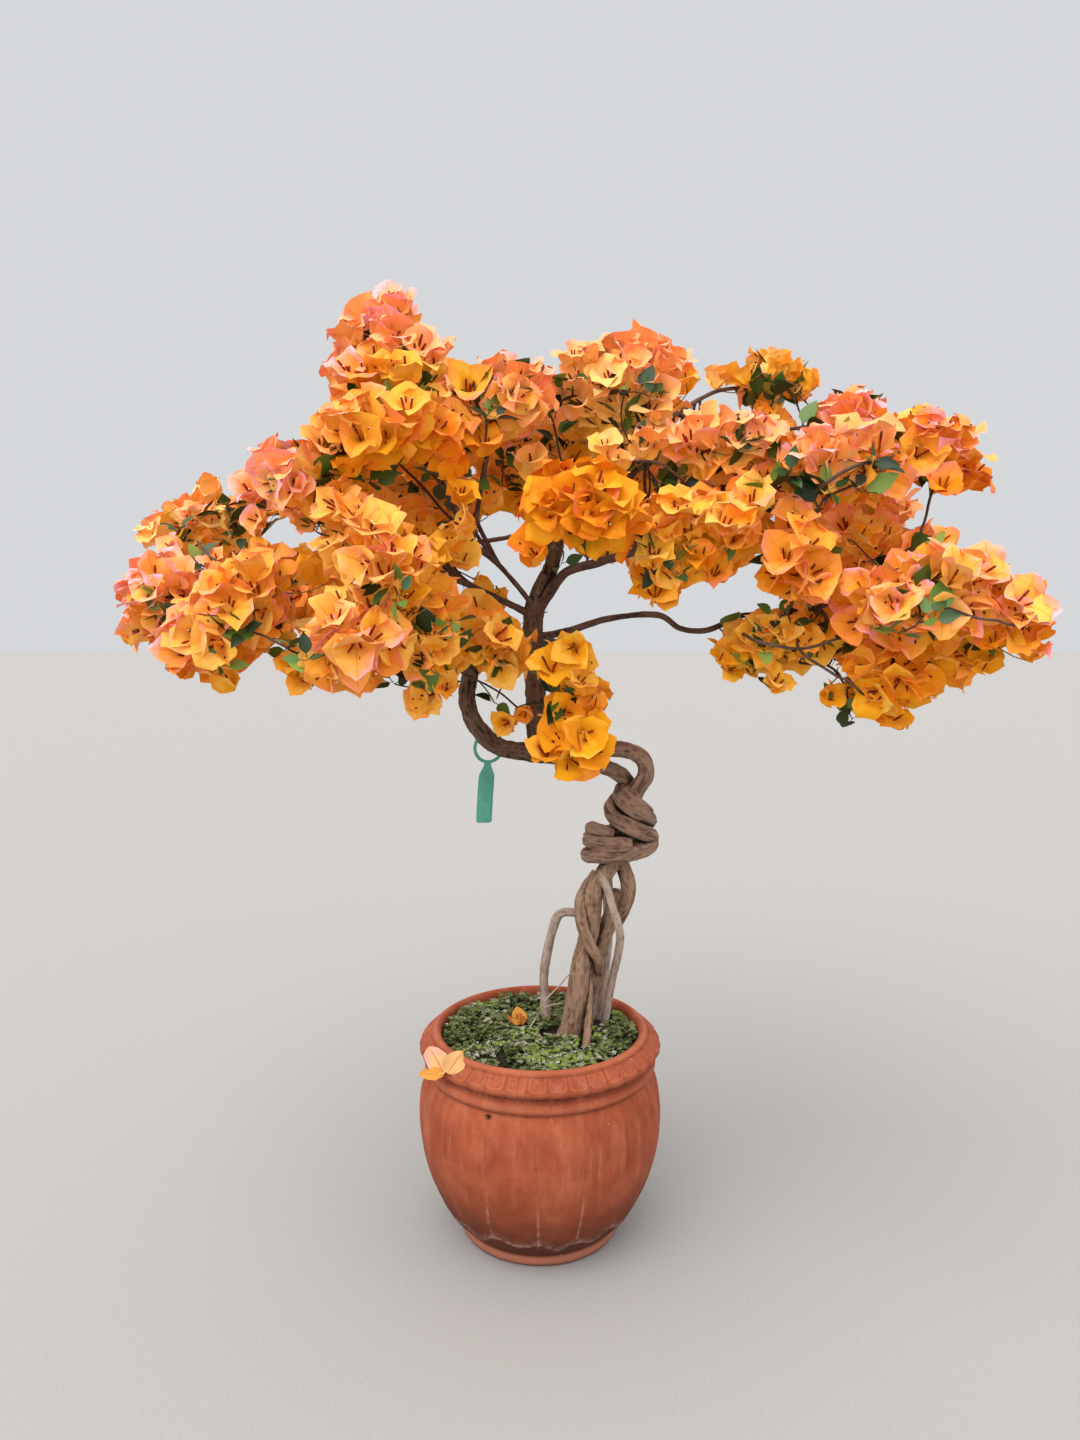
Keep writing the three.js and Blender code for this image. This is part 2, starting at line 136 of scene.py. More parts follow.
# ------------------------------------------------------------------ meshes
class Shape:
    """Gathers the vertices and faces of one joined mesh."""

    def __init__(self):
        self.v, self.q, self.t, self.qm, self.tm = [], [], [], [], []
        self.extra = {}
        self.way = []
        self.count = 0

    def add(self, verts, quads=None, tris=None, qm=0, tm=0, **extra):
        verts = np.asarray(verts, float).reshape(-1, 3)
        n = len(verts)
        self.v.append(verts)
        if quads is not None and len(quads):
            quads = np.asarray(quads, np.int64).reshape(-1, 4)
            self.q.append(quads + self.count)
            self.qm.append(np.broadcast_to(np.asarray(qm, np.int32), (len(quads),)))
        if tris is not None and len(tris):
            tris = np.asarray(tris, np.int64).reshape(-1, 3)
            self.t.append(tris + self.count)
            self.tm.append(np.broadcast_to(np.asarray(tm, np.int32), (len(tris),)))
        for key, value in extra.items():
            value = np.asarray(value, float)
            width = 3 if value.ndim == 2 else 1
            self.extra.setdefault(key, []).append(value.reshape(n, width))
        self.count += n

    @property
    def triangles(self):
        return 2 * sum(len(q) for q in self.q) + sum(len(t) for t in self.t)

    def object(self, name, materials, smooth=True):
        verts = np.concatenate(self.v)
        quads = np.concatenate(self.q) if self.q else np.zeros((0, 4), np.int64)
        tris = np.concatenate(self.t) if self.t else np.zeros((0, 3), np.int64)
        mats = np.concatenate(self.qm + self.tm) if (self.qm or self.tm) else np.zeros(0, np.int32)
        me = bpy.data.meshes.new(name)
        me.vertices.add(len(verts))
        me.vertices.foreach_set("co", verts.astype(np.float32).ravel())
        loops = np.concatenate([quads.ravel(), tris.ravel()]).astype(np.int32)
        me.loops.add(len(loops))
        me.loops.foreach_set("vertex_index", loops)
        starts = np.concatenate([np.arange(len(quads)) * 4, len(quads) * 4 + np.arange(len(tris)) * 3])
        me.polygons.add(len(quads) + len(tris))
        me.polygons.foreach_set("loop_start", starts.astype(np.int32))
        me.polygons.foreach_set("material_index", mats.astype(np.int32))
        me.polygons.foreach_set("use_smooth", np.full(len(mats), smooth, bool))
        me.update(calc_edges=True)
        me.validate()
        for key, parts in self.extra.items():
            data = np.concatenate(parts).astype(np.float32)
            kind = "FLOAT_VECTOR" if data.shape[1] == 3 else "FLOAT"
            layer = me.attributes.new(key, kind, "POINT")
            layer.data.foreach_set("vector" if kind == "FLOAT_VECTOR" else "value", data.ravel())
        for m in materials:
            me.materials.append(m)
        ob = bpy.data.objects.new(name, me)
        bpy.context.scene.collection.objects.link(ob)
        return ob


def unit(v):
    v = np.asarray(v, float)
    return v / np.maximum(np.linalg.norm(v, axis=-1, keepdims=True), 1e-12)


def through(points, step):
    """A centripetal Catmull-Rom curve through points, at even steps."""
    p = np.asarray(points, float)
    if len(p) == 2:
        n = max(2, int(round(np.linalg.norm(p[1] - p[0]) / step)) + 1)
        return p[0] + (p[1] - p[0]) * np.linspace(0, 1, n)[:, None]
    q = np.vstack([2 * p[0] - p[1], p, 2 * p[-1] - p[-2]])
    fine = []
    for k in range(1, len(q) - 2):
        x0, x1, x2, x3 = q[k - 1], q[k], q[k + 1], q[k + 2]
        d0, d1, d2 = (max(np.linalg.norm(b - a) ** 0.5, 1e-6) for a, b in ((x0, x1), (x1, x2), (x2, x3)))
        t1 = ((x1 - x0) / d0 - (x2 - x0) / (d0 + d1) + (x2 - x1) / d1) * d1
        t2 = ((x2 - x1) / d1 - (x3 - x1) / (d1 + d2) + (x3 - x2) / d2) * d1
        t = np.linspace(0, 1, 25)[:-1, None]
        fine.append(
            (2 * t**3 - 3 * t**2 + 1) * x1 + (t**3 - 2 * t**2 + t) * t1
            + (-2 * t**3 + 3 * t**2) * x2 + (t**3 - t**2) * t2
        )
    fine = np.vstack(fine + [q[-2][None]])
    s = np.concatenate([[0], np.cumsum(np.linalg.norm(np.diff(fine, axis=0), axis=1))])
    n = max(3, int(round(s[-1] / step)) + 1)
    at = np.linspace(0, s[-1], n)
    return np.stack([np.interp(at, s, fine[:, k]) for k in range(3)], axis=1)


def turn(x, y, rx, ry, z0, z1, a0, a1):
    """A turn of a strand round an upright axis: 180 is the left end, 270 the front."""
    n = max(4, int(round(abs(a1 - a0) / 40)))
    out = []
    for i in range(n + 1):
        f = i / n
        a = math.radians(a0 + (a1 - a0) * f)
        out.append((x + rx * math.cos(a), y + ry * math.sin(a), z0 + (z1 - z0) * f))
    return out


def transport(points):
    """Tangents and two cross directions that don't spin along the curve."""
    t = unit(np.gradient(points, axis=0))
    start = np.array([0.0, -1.0, 0.0]) if abs(t[0][1]) < 0.9 else np.array([1.0, 0.0, 0.0])
    n = np.zeros_like(t)
    n[0] = unit(start - t[0] * (start @ t[0]))
    for i in range(1, len(t)):
        v = n[i - 1] - t[i] * (n[i - 1] @ t[i])
        n[i] = v / max(np.linalg.norm(v), 1e-9)
    return t, n, np.cross(t, n)


def triangles_of(ob):
    me = ob.data
    me.calc_loop_triangles()
    v = np.zeros(len(me.vertices) * 3, np.float32)
    me.vertices.foreach_get("co", v)
    t = np.zeros(len(me.loop_triangles) * 3, np.int32)
    me.loop_triangles.foreach_get("vertices", t)
    return v.reshape(-1, 3).astype(float), t.reshape(-1, 3)


BARKS = {
    # share of the radius in broad lumps, furrows and fine ridges in mm, spiral in rad/m
    "stem": (0.060, 0.72, 0.48, 6.0),
    "root": (0.055, 0.28, 0.16, 0.0),
    "knot": (0.085, 0.82, 0.62, 9.0),
    "trunk": (0.095, 1.05, 0.80, 3.0),
    "bough": (0.150, 0.46, 0.28, 3.0),
}
strand_count = 0


def strand(shape, points, radii, kind, sides=None, flare=0.0, flare_length=14 * MM, ends=("flat", "flat"),
           oval=0.0, mat=0):
    """One barked strand: a tube along points with the relief of its bark."""
    global strand_count
    strand_count += 1
    points = np.asarray(points, float)
    n = len(points)
    s = np.concatenate([[0], np.cumsum(np.linalg.norm(np.diff(points, axis=0), axis=1))])
    radii = np.broadcast_to(np.asarray(radii, float), (n,)).copy()
    lump, furrow, fine, spiral = BARKS[kind]
    if sides is None:
        sides = int(np.clip(round(2 * math.pi * radii.max() / (1.35 * MM)), 10, 60))
    t, a, b = transport(points)
    th = np.arange(sides) * 2 * math.pi / sides
    ct, st = np.cos(th), np.sin(th)
    off = 13.7 * strand_count
    base = radii[:, None] * (1 + oval * np.cos(2 * (th[None] + 0.4)))
    if flare:
        lobes = 1 + 0.45 * np.cos(3 * th[None] + strand_count) + 0.3 * np.cos(5 * th[None] + 2.1 * strand_count)
        base = base + flare * np.exp(-s[:, None] / flare_length) * lobes
    spun = th[None] + spiral * s[:, None]
    rc, rs = radii[:, None] * np.cos(spun), radii[:, None] * np.sin(spun)
    ss = np.broadcast_to(s[:, None], rc.shape)
    q = np.stack([rc, rs, ss], axis=-1)
    wide = noise(q * np.array([1, 1, 0.55]) / (0.9 * radii.mean() + 5 * MM) + off, 3)
    mid = fbm(q * np.array([1, 1, 0.24]) / (4.2 * MM) + off, 2, 5)
    small = 1 - 2 * np.abs(noise(q * np.array([1, 1, 0.26]) / (2.3 * MM) + off, 9))
    d = lump * radii[:, None] * wide + MM * furrow * mid + MM * fine * small
    r = base + d * np.clip(radii[:, None] / (4 * MM), 0.25, 1.3)
    for side, end in enumerate(ends):
        if end == "round":
            x = s if side == 0 else s[-1] - s
            edge = radii[0 if side == 0 else -1]
            f = np.clip(x / edge, 0, 1)
            r = r * np.sqrt(np.clip(1 - (1 - f) ** 2, 0.02, 1))[:, None]
    v = points[:, None] + r[..., None] * (ct[None, :, None] * a[:, None] + st[None, :, None] * b[:, None])
    i = np.arange(n - 1)[:, None] * sides + np.arange(sides)[None]
    j = np.arange(n - 1)[:, None] * sides + (np.arange(sides)[None] + 1) % sides
    quads = np.stack([i, j, j + sides, i + sides], axis=-1).reshape(-1, 4)
    k = np.arange(sides)
    first = np.stack([np.full(sides, n * sides), (k + 1) % sides, k], axis=-1)
    last = np.stack([np.full(sides, n * sides + 1), (n - 1) * sides + k, (n - 1) * sides + (k + 1) % sides], axis=-1)
    tips = np.stack([points[0], points[-1]])
    fibre = np.concatenate([(q + off * 0.05).reshape(-1, 3), (np.array([[0, 0, s[0]], [0, 0, s[-1]]]) + off * 0.05)])
    low = np.concatenate([(mid * 0.6 + small * 0.4).reshape(-1), [0, 0]])
    shape.add(np.concatenate([v.reshape(-1, 3), tips]), quads, np.concatenate([first, last]), mat, mat,
              fibre=fibre, groove=low)
    way = ct[None, :, None] * a[:, None] + st[None, :, None] * b[:, None]
    shape.way.append(np.concatenate([way.reshape(-1, 3), [-t[0], t[-1]]]))
    return s[-1]


# ------------------------------------------------------------------ materials
def srgb(text):
    """A plain colour from its usual hex text, as the linear numbers Blender wants."""
    c = [int(text[i:i + 2], 16) / 255 for i in (1, 3, 5)]
    return tuple(x / 12.92 if x <= 0.04045 else ((x + 0.055) / 1.055) ** 2.4 for x in c) + (1.0,)


class Nodes:
    """A small helper for building a material's nodes."""

    def __init__(self, name):
        self.mat = bpy.data.materials.new(name)
        self.mat.use_nodes = True
        self.tree = self.mat.node_tree
        self.tree.nodes.clear()
        self.out = self.tree.nodes.new("ShaderNodeOutputMaterial")
        self.p = self.tree.nodes.new("ShaderNodeBsdfPrincipled")
        self.tree.links.new(self.p.outputs[0], self.out.inputs[0])

    def link(self, a, b):
        self.tree.links.new(a, b)

    def attribute(self, name, output="Vector"):
        n = self.tree.nodes.new("ShaderNodeAttribute")
        n.attribute_type = "GEOMETRY"
        n.attribute_name = name
        return n.outputs[output]

    def place(self):
        return self.tree.nodes.new("ShaderNodeTexCoord").outputs["Object"]

    def scaled(self, vector, scale, move=(0, 0, 0)):
        n = self.tree.nodes.new("ShaderNodeMapping")
        n.inputs["Scale"].default_value = scale
        n.inputs["Location"].default_value = move
        self.link(vector, n.inputs["Vector"])
        return n.outputs[0]

    def noise(self, vector, scale, detail=4.0, rough=0.55, distort=0.0):
        n = self.tree.nodes.new("ShaderNodeTexNoise")
        n.inputs["Scale"].default_value = scale
        n.inputs["Detail"].default_value = detail
        n.inputs["Roughness"].default_value = rough
        n.inputs["Distortion"].default_value = distort
        self.link(vector, n.inputs["Vector"])
        return n.outputs["Fac"]

    def voronoi(self, vector, scale, feature="F1", out="Distance"):
        n = self.tree.nodes.new("ShaderNodeTexVoronoi")
        n.feature = feature
        n.inputs["Scale"].default_value = scale
        self.link(vector, n.inputs["Vector"])
        return n.outputs[out]

    def ramp(self, value, stops, smooth=False):
        n = self.tree.nodes.new("ShaderNodeValToRGB")
        if smooth:
            n.color_ramp.interpolation = "EASE"
        e = n.color_ramp.elements
        while len(e) < len(stops):
            e.new(0.5)
        for k, (at, colour) in enumerate(stops):
            e[k].position = at
            e[k].color = colour if isinstance(colour, tuple) else (colour, colour, colour, 1)
        self.link(value, n.inputs[0])
        return n.outputs["Color"]

    def span(self, value, a, b, c=0.0, d=1.0):
        n = self.tree.nodes.new("ShaderNodeMapRange")
        n.inputs[1].default_value, n.inputs[2].default_value = a, b
        n.inputs[3].default_value, n.inputs[4].default_value = c, d
        self.link(value, n.inputs[0])
        return n.outputs[0]

    def math(self, op, a, b=None):
        n = self.tree.nodes.new("ShaderNodeMath")
        n.operation = op
        for k, x in enumerate((a, b)):
            if x is None:
                continue
            if isinstance(x, (int, float)):
                n.inputs[k].default_value = x
            else:
                self.link(x, n.inputs[k])
        return n.outputs[0]

    def mix(self, factor, a, b, blend="MIX"):
        n = self.tree.nodes.new("ShaderNodeMix")
        n.data_type = "RGBA"
        n.blend_type = blend
        for socket, x in ((n.inputs[0], factor), (n.inputs[6], a), (n.inputs[7], b)):
            if isinstance(x, (int, float, tuple)):
                socket.default_value = x
            else:
                self.link(x, socket)
        return n.outputs[2]

    def bump(self, height, strength, distance, normal=None):
        n = self.tree.nodes.new("ShaderNodeBump")
        n.inputs["Strength"].default_value = strength
        n.inputs["Distance"].default_value = distance
        self.link(height, n.inputs["Height"])
        if normal is not None:
            self.link(normal, n.inputs["Normal"])
        return n.outputs[0]


def plain(name, colour, rough=0.55, specular=0.3, sheen=0.0, glow=None):
    """A plain base colour, for the small pieces that are dealt out by spray, with a painted glow where one is asked
    for.
    """
    m = Nodes(name)
    m.p.inputs["Base Color"].default_value = colour if isinstance(colour, tuple) else srgb(colour)
    m.p.inputs["Roughness"].default_value = rough
    m.p.inputs["Specular IOR Level"].default_value = specular
    if sheen:
        m.p.inputs["Sheen Weight"].default_value = sheen
        m.p.inputs["Sheen Roughness"].default_value = 0.5
    if glow:  # painted glow, standing in for light that comes through a thin blade
        m.p.inputs["Emission Color"].default_value = m.p.inputs["Base Color"].default_value[:]
        m.p.inputs["Emission Strength"].default_value = glow
    return m.mat


def bark_material(name, ridge, body, crack, lichen, lichen_share=0.25, fibre=1.0, moss=None):
    m = Nodes(name)
    along = m.scaled(m.attribute("fibre"), (1, 1, 0.16))
    long_grain = m.noise(along, 620 * fibre, 5, 0.62, 0.25)
    flakes = m.noise(m.scaled(m.attribute("fibre"), (1, 1, 0.42)), 260 * fibre, 5, 0.6, 0.4)
    place = m.place()
    patches = m.noise(place, 34, 4, 0.6)
    specks = m.noise(place, 420, 3, 0.6)
    groove = m.span(m.attribute("groove", "Fac"), -0.55, 0.5)
    level = m.math("ADD", m.math("MULTIPLY", long_grain, 0.55), m.math("MULTIPLY", flakes, 0.45))
    level = m.math("ADD", m.math("MULTIPLY", level, 0.72), m.math("MULTIPLY", groove, 0.28))
    colour = m.ramp(level, [(0.30, srgb(crack)), (0.43, srgb(body)), (0.60, srgb(ridge)), (0.78, srgb(ridge))])
    share = m.span(patches, 0.62 - lichen_share * 0.4, 0.80 - lichen_share * 0.4)
    share = m.math("MULTIPLY", share, m.span(specks, 0.35, 0.6))
    colour = m.mix(m.math("MULTIPLY", share, 0.75), colour, srgb(lichen))
    if moss:
        green = m.span(m.noise(place, 55, 3, 0.6), 0.56, 0.70)
        colour = m.mix(m.math("MULTIPLY", green, 0.30), colour, srgb(moss))
    dark = m.span(m.noise(place, 75, 5, 0.65), 0.56, 0.74)
    colour = m.mix(m.math("MULTIPLY", dark, 0.42), colour, srgb(crack))
    # painted shade where one strand lies close to another, and on the sides of the wood that face down
    crevice_shade = m.math("MULTIPLY", m.span(m.attribute("shade", "Fac"), 0.05, 0.36), m.span(flakes, 0.25, 0.55, 0.72, 1.0))
    colour = m.mix(m.math("MULTIPLY", crevice_shade, 0.86), colour, srgb(crack))
    m.link(colour, m.p.inputs["Base Color"])
    m.link(m.span(level, 0.3, 0.7, 0.96, 0.72), m.p.inputs["Roughness"])
    m.p.inputs["Specular IOR Level"].default_value = 0.22
    height = m.math("ADD", level, m.math("MULTIPLY", specks, 0.25))
    m.link(m.bump(height, 0.75, 0.0011), m.p.inputs["Normal"])
    return m.mat


def terracotta_material():
    m = Nodes("terracotta")
    place = m.place()
    broad = m.noise(place, 9, 4, 0.55, 0.3)
    patches = m.noise(place, 26, 5, 0.62, 0.3)
    blotch = m.noise(place, 75, 4, 0.65, 0.2)
    grain = m.noise(place, 330, 4, 0.7)
    sand = m.noise(place, 1100, 2, 0.6)
    streak = m.noise(m.scaled(place, (1, 1, 0.10)), 55, 4, 0.6, 0.1)
    narrow = m.noise(m.scaled(place, (1, 1, 0.07), (3, 1, 0)), 170, 3, 0.6)
    level = m.math("ADD", m.math("MULTIPLY", broad, 0.40), m.math("MULTIPLY", patches, 0.60))
    colour = m.ramp(level, [(0.30, srgb("#82391f")), (0.45, srgb("#964629")), (0.57, srgb("#a35133")), (0.74, srgb("#b06142"))])
    colour = m.mix(m.math("MULTIPLY", m.span(streak, 0.50, 0.72), 0.42), colour, srgb("#bd7556"))
    colour = m.mix(m.math("MULTIPLY", m.span(streak, 0.46, 0.28), 0.46), colour, srgb("#843c20"))
    colour = m.mix(m.math("MULTIPLY", m.span(narrow, 0.58, 0.78), 0.22), colour, srgb("#c88d74"))
    colour = m.mix(m.math("MULTIPLY", m.span(blotch, 0.54, 0.70), 0.26), colour, srgb("#7d3a20"))
    colour = m.mix(m.math("MULTIPLY", m.span(grain, 0.55, 0.80), 0.24), colour, srgb("#743419"))
    # the upper half is paler, and the clay grows darker towards the bottom
    damp = m.attribute("damp", "Fac")
    lower_dark_level = m.math("ADD", damp, m.span(m.noise(place, 30, 5, 0.62), 0.25, 0.75, -0.20, 0.20))
    colour = m.mix(m.math("MULTIPLY", m.span(lower_dark_level, 0.06, 0.55), 0.62), colour, srgb("#79371e"))
    colour = m.mix(m.math("MULTIPLY", m.span(lower_dark_level, 0.42, 0.92), 0.74), colour, srgb("#4f2111"))
    # the fold between two lobes: painted shade in the crease above, a pale thread of lime below
    crease_shade = m.attribute("crease_shade", "Fac")
    colour = m.mix(m.math("MULTIPLY", crease_shade, 0.42), colour, srgb("#6d301a"))
    crease = m.attribute("crease", "Fac")
    crease = m.math("MULTIPLY", crease, m.span(m.noise(place, 95, 4, 0.65), 0.36, 0.62))
    colour = m.mix(m.math("MULTIPLY", crease, 0.72), colour, srgb("#bd8c78"))
    # dirt and painted shade caught in the grooves of the moulding
    dirt = m.attribute("dirt", "Fac")
    dirt = m.math("MULTIPLY", dirt, m.span(m.noise(place, 120, 4, 0.65), 0.20, 0.62))
    colour = m.mix(m.math("MULTIPLY", dirt, 0.78), colour, srgb("#4a1f11"))
    worn = m.attribute("worn", "Fac")
    colour = m.mix(m.math("MULTIPLY", worn, 0.50), colour, srgb("#c4775a"))
    # a broken line of lime round the foot, and the dark ring under it
    under = m.attribute("under", "Fac")
    colour = m.mix(m.math("MULTIPLY", under, 0.60), colour, srgb("#4a1f10"))
    salt = m.attribute("salt", "Fac")
    salt = m.math("MULTIPLY", salt, m.span(m.noise(place, 130, 5, 0.72), 0.38, 0.58))
    colour = m.mix(m.math("MULTIPLY", salt, 0.80), colour, srgb("#b08c7c"))
    foot = m.attribute("foot", "Fac")
    colour = m.mix(m.math("MULTIPLY", foot, 0.80), colour, srgb("#b06e57"))
    # painted shade, near black, inside the knocked chip and the slit
    chip = m.attribute("chip", "Fac")
    colour = m.mix(chip, colour, srgb("#140805"))
    specks = m.voronoi(place, 58)
    colour = m.mix(m.math("MULTIPLY", m.span(specks, 0.080, 0.045), m.span(m.noise(place, 25, 2), 0.54, 0.62)), colour, srgb("#d9b29c"))
    m.link(colour, m.p.inputs["Base Color"])
    m.link(m.span(grain, 0.2, 0.8, 0.70, 0.92), m.p.inputs["Roughness"])
    m.p.inputs["Specular IOR Level"].default_value = 0.28
    h = m.math("ADD", m.math("MULTIPLY", grain, 0.6), m.math("MULTIPLY", sand, 0.4))
    fine = m.bump(h, 0.40, 0.0008)
    wide = m.bump(m.noise(place, 55, 4, 0.6), 0.30, 0.0018, fine)
    m.link(wide, m.p.inputs["Normal"])
    return m.mat


def soil_material():
    m = Nodes("soil")
    place = m.place()
    crumbs = m.noise(place, 210, 6, 0.7)
    lumps = m.voronoi(place, 150)
    patches = m.noise(place, 26, 4, 0.6)
    colour = m.ramp(crumbs, [(0.28, srgb("#110c08")), (0.46, srgb("#241a12")), (0.62, srgb("#3a2a1d")), (0.80, srgb("#5c4733"))])
    colour = m.mix(m.math("MULTIPLY", m.span(patches, 0.44, 0.62), 0.60), colour, srgb("#3d4a1f"))
    colour = m.mix(m.math("MULTIPLY", m.span(lumps, 0.12, 0.05), 0.35), colour, srgb("#8a7459"))
    m.link(colour, m.p.inputs["Base Color"])
    m.link(m.span(crumbs, 0.3, 0.7, 0.98, 0.80), m.p.inputs["Roughness"])
    m.p.inputs["Specular IOR Level"].default_value = 0.2
    h = m.math("SUBTRACT", crumbs, m.math("MULTIPLY", lumps, 0.8))
    m.link(m.bump(h, 0.9, 0.003), m.p.inputs["Normal"])
    return m.mat


def plastic_material():
    m = Nodes("tag_plastic")
    place = m.place()
    haze = m.noise(place, 90, 4, 0.6)
    scuffs = m.noise(m.scaled(place, (1, 1, 0.12)), 900, 3, 0.7)
    grime = m.noise(place, 40, 5, 0.65)
    colour = m.ramp(haze, [(0.3, srgb("#3f9480")), (0.55, srgb("#53a691")), (0.75, srgb("#6ab5a1"))])
    colour = m.mix(m.math("MULTIPLY", m.span(scuffs, 0.60, 0.80), 0.30), colour, srgb("#97c9ba"))
    colour = m.mix(m.math("MULTIPLY", m.span(grime, 0.55, 0.75), 0.34), colour, srgb("#39604f"))
    m.link(colour, m.p.inputs["Base Color"])
    m.link(m.span(haze, 0.3, 0.7, 0.34, 0.55), m.p.inputs["Roughness"])
    m.p.inputs["Specular IOR Level"].default_value = 0.45
    m.link(m.bump(scuffs, 0.12, 0.0004), m.p.inputs["Normal"])
    return m.mat


def floor_material():
    m = Nodes("studio_floor")
    place = m.place()
    tone = m.noise(place, 260, 3, 0.5)
    m.link(m.ramp(tone, [(0.3, srgb("#a09d9a")), (0.7, srgb("#a5a29f"))]), m.p.inputs["Base Color"])
    m.p.inputs["Roughness"].default_value = 0.9
    m.p.inputs["Specular IOR Level"].default_value = 0.1
    return m.mat


STEM_BARK = bark_material("bark_stem", "#997963", "#715442", "#2a1b13", "#ac9480", 0.24, 1.0, "#6a6a3e")
KNOT_BARK = bark_material("bark_knot", "#8f725f", "#60463a", "#1f130d", "#a08976", 0.20, 1.0)
ROOT_BARK = bark_material("bark_root", "#ab9686", "#846e60", "#42332a", "#bdafa3", 0.38, 1.3)
TRUNK_BARK = bark_material("bark_trunk", "#6b513f", "#423025", "#160d08", "#85735f", 0.28, 0.85, "#55582f")
BOUGH_BARK = bark_material("bark_bough", "#644c3f", "#40302a", "#1a110d", "#7d6b5c", 0.22, 1.2)

# ------------------------------------------------------------------ the wood
STEMS = {
    # places in mm, thickness at each end, flare at the start, kind of bark
    "stem_front": ([(34, -5, 232), (34, -5, 236), (44, -7, 288), (51, -8, 335), (62, -2, 385), (67, 0, 420), (90, 4, 464), (96, 6, 480)], 13, 11.5, 3.6, "stem"),
    "stem_middle": ([(54, 25, 232), (54, 25, 236), (62, 17, 300), (75, 15, 347), (86, 17, 380), (93, 22, 400), (98, 20, 416)], 11.5, 10, 2.6, "stem"),
    "stem_back": ([(76, 49, 232), (76, 49, 236), (80, 44, 285), (84, 41, 335), (86, 38, 385), (84, 28, 448), (86, 20, 470)], 7.5, 6.5, 1.6, "root"),
    "stem_loop_right": ([(93, 24, 372), (99, 21, 386), (107, 14, 408), (109, 11, 424), (104, 13, 444), (97, 16, 460), (92, 16, 474)], 9.5, 9.5, 0, "stem"),
    "stem_crossing": ([(70, 20, 440), (58, 14, 426), (50, 2, 412), (50, -20, 388), (60, -26, 364), (71, -14, 340), (74, 2, 318)], 6.5, 6, 0, "stem"),
    "aerial_root_left_lower": ([(9, 30, 231), (9, 30, 236), (5, 26, 307), (13, 24, 356), (20, 21, 380), (22, 20.5, 385)], 6, 5.6, 1.1, "root"),
    "aerial_root_left_upper": ([(18, 21.5, 377), (22, 20.5, 385), (29, 18.5, 390), (45, 14, 391), (58, 6, 389)], 5.7, 5.4, 0, "root"),
    "aerial_root_right": ([(74, -4, 446), (80, -13, 432), (89, -17, 403), (97, -14, 371), (95, -6, 344), (90, 6, 312), (80, 27, 236), (79, 28, 231)], 4.9, 4.8, 0, "root"),
    "knot_core": ([(88, 5, 452), (92, 5, 468), (98, 8, 505), (112, 8, 545)], 13, 12, 0, "knot"),
    "knot_coil_low": (turn(97, 4, 38, 27, 463, 484, 130, 400), 9, 9, 0, "knot"),
    "knot_coil_middle": (turn(93, 4, 30, 25, 488, 484, 60, 300), 11, 10, 0, "knot"),
    "knot_rope_low": (turn(111, 4, 25, 25, 541, 486, 90, 370), 8, 9, 0, "knot"),
    "knot_rope_high": (turn(115, 4, 19, 21, 548, 505, 140, 380), 8, 8.5, 0, "knot"),
    "neck_over": ([(112, 6, 532), (116, 4, 545), (128, 2, 566), (124, 2, 584), (107, 2, 595), (82, 2, 597), (58, 2, 592), (44, 2, 590)], 10, 9.8, 0, "knot"),
    "neck_under": ([(112, 24, 534), (110, 22, 548), (97, 17, 565), (79, 14, 573), (58, 12, 576), (44, 9, 580)], 9.5, 9, 0, "knot"),
    "trunk_bridge": ([(66, 3, 586), (60, 3, 586), (26, 1, 590), (-10, 0, 594), (-46, 0, 599), (-56, 0, 604)], 14, 9.8, 0, "trunk"),
    "trunk_upper": ([(2, 0, 586), (1, 0, 592), (-5, 0, 641), (-5, 0, 678), (-9, 0, 709), (-9, 0, 740), (-6, 1, 768), (-4, 2, 776)], 12.5, 11, 3.2, "trunk"),
    "limb_up": ([(-8, 1, 756), (-6, 2, 768), (1, 5, 789), (12, 2, 811), (20, -30, 838)], 10, 7.5, 0, "trunk"),
    "limb_right": ([(-4, -3, 752), (2, -6, 768), (15, -9, 789), (31, -10, 807), (66, -14, 818), (117, -22, 831), (176, -36, 838)], 8, 4, 0, "bough"),
    "bough_left_low": ([(-38, 0, 596), (-46, 0, 599), (-61, 0, 608), (-79, 0, 630), (-86, 0, 654), (-85, -4, 676), (-78, -22, 700)], 10, 9, 0, "trunk"),
    "bough_left_high": ([(-6, 0, 752), (-12, -2, 758), (-46, -10, 775), (-71, -30, 787), (-104, -86, 802)], 5, 4, 1.5, "bough"),
    "bough_up_left": ([(-3, -4, 760), (-8, -8, 768), (-28, -20, 793), (-48, -40, 815), (-79, -92, 840)], 4.4, 3, 1.2, "bough"),
    "bough_right_low": ([(-6, -2, 730), (0, -3, 731), (41, -4, 741), (77, -4, 752), (141, -8, 757), (164, -15, 742), (194, -25, 740), (226, -42, 756), (258, -66, 758)], 5, 3, 2.0, "bough"),
}
ROUND_END = {"knot_coil_low": ("round", "round"), "knot_coil_middle": ("round", "flat"),
             "knot_rope_low": ("flat", "round"), "knot_rope_high": ("flat", "round")}
curves = {}
for name, (places, r0, r1, flare, kind) in STEMS.items():
    curves[name] = (through(np.array(places) * MM, 1.6 * MM), r0 * MM, r1 * MM, flare * MM, kind)


def limb(shape, name, mat=0):
    points, r0, r1, flare, kind = curves[name]
    f = np.linspace(0, 1, len(points))
    thin = {"bough_up_left": 0.68, "bough_left_high": 0.82, "limb_right": 0.80, "bough_right_low": 0.86}.get(name, 1.0)
    r0, r1 = thin * r0, thin * r1
    strand(shape, points, r0 + (r1 - r0) * f, kind, flare=flare, ends=ROUND_END.get(name, ("flat", "flat")),
           oval=0.07 if kind in ("stem", "knot") else 0.03, mat=mat)


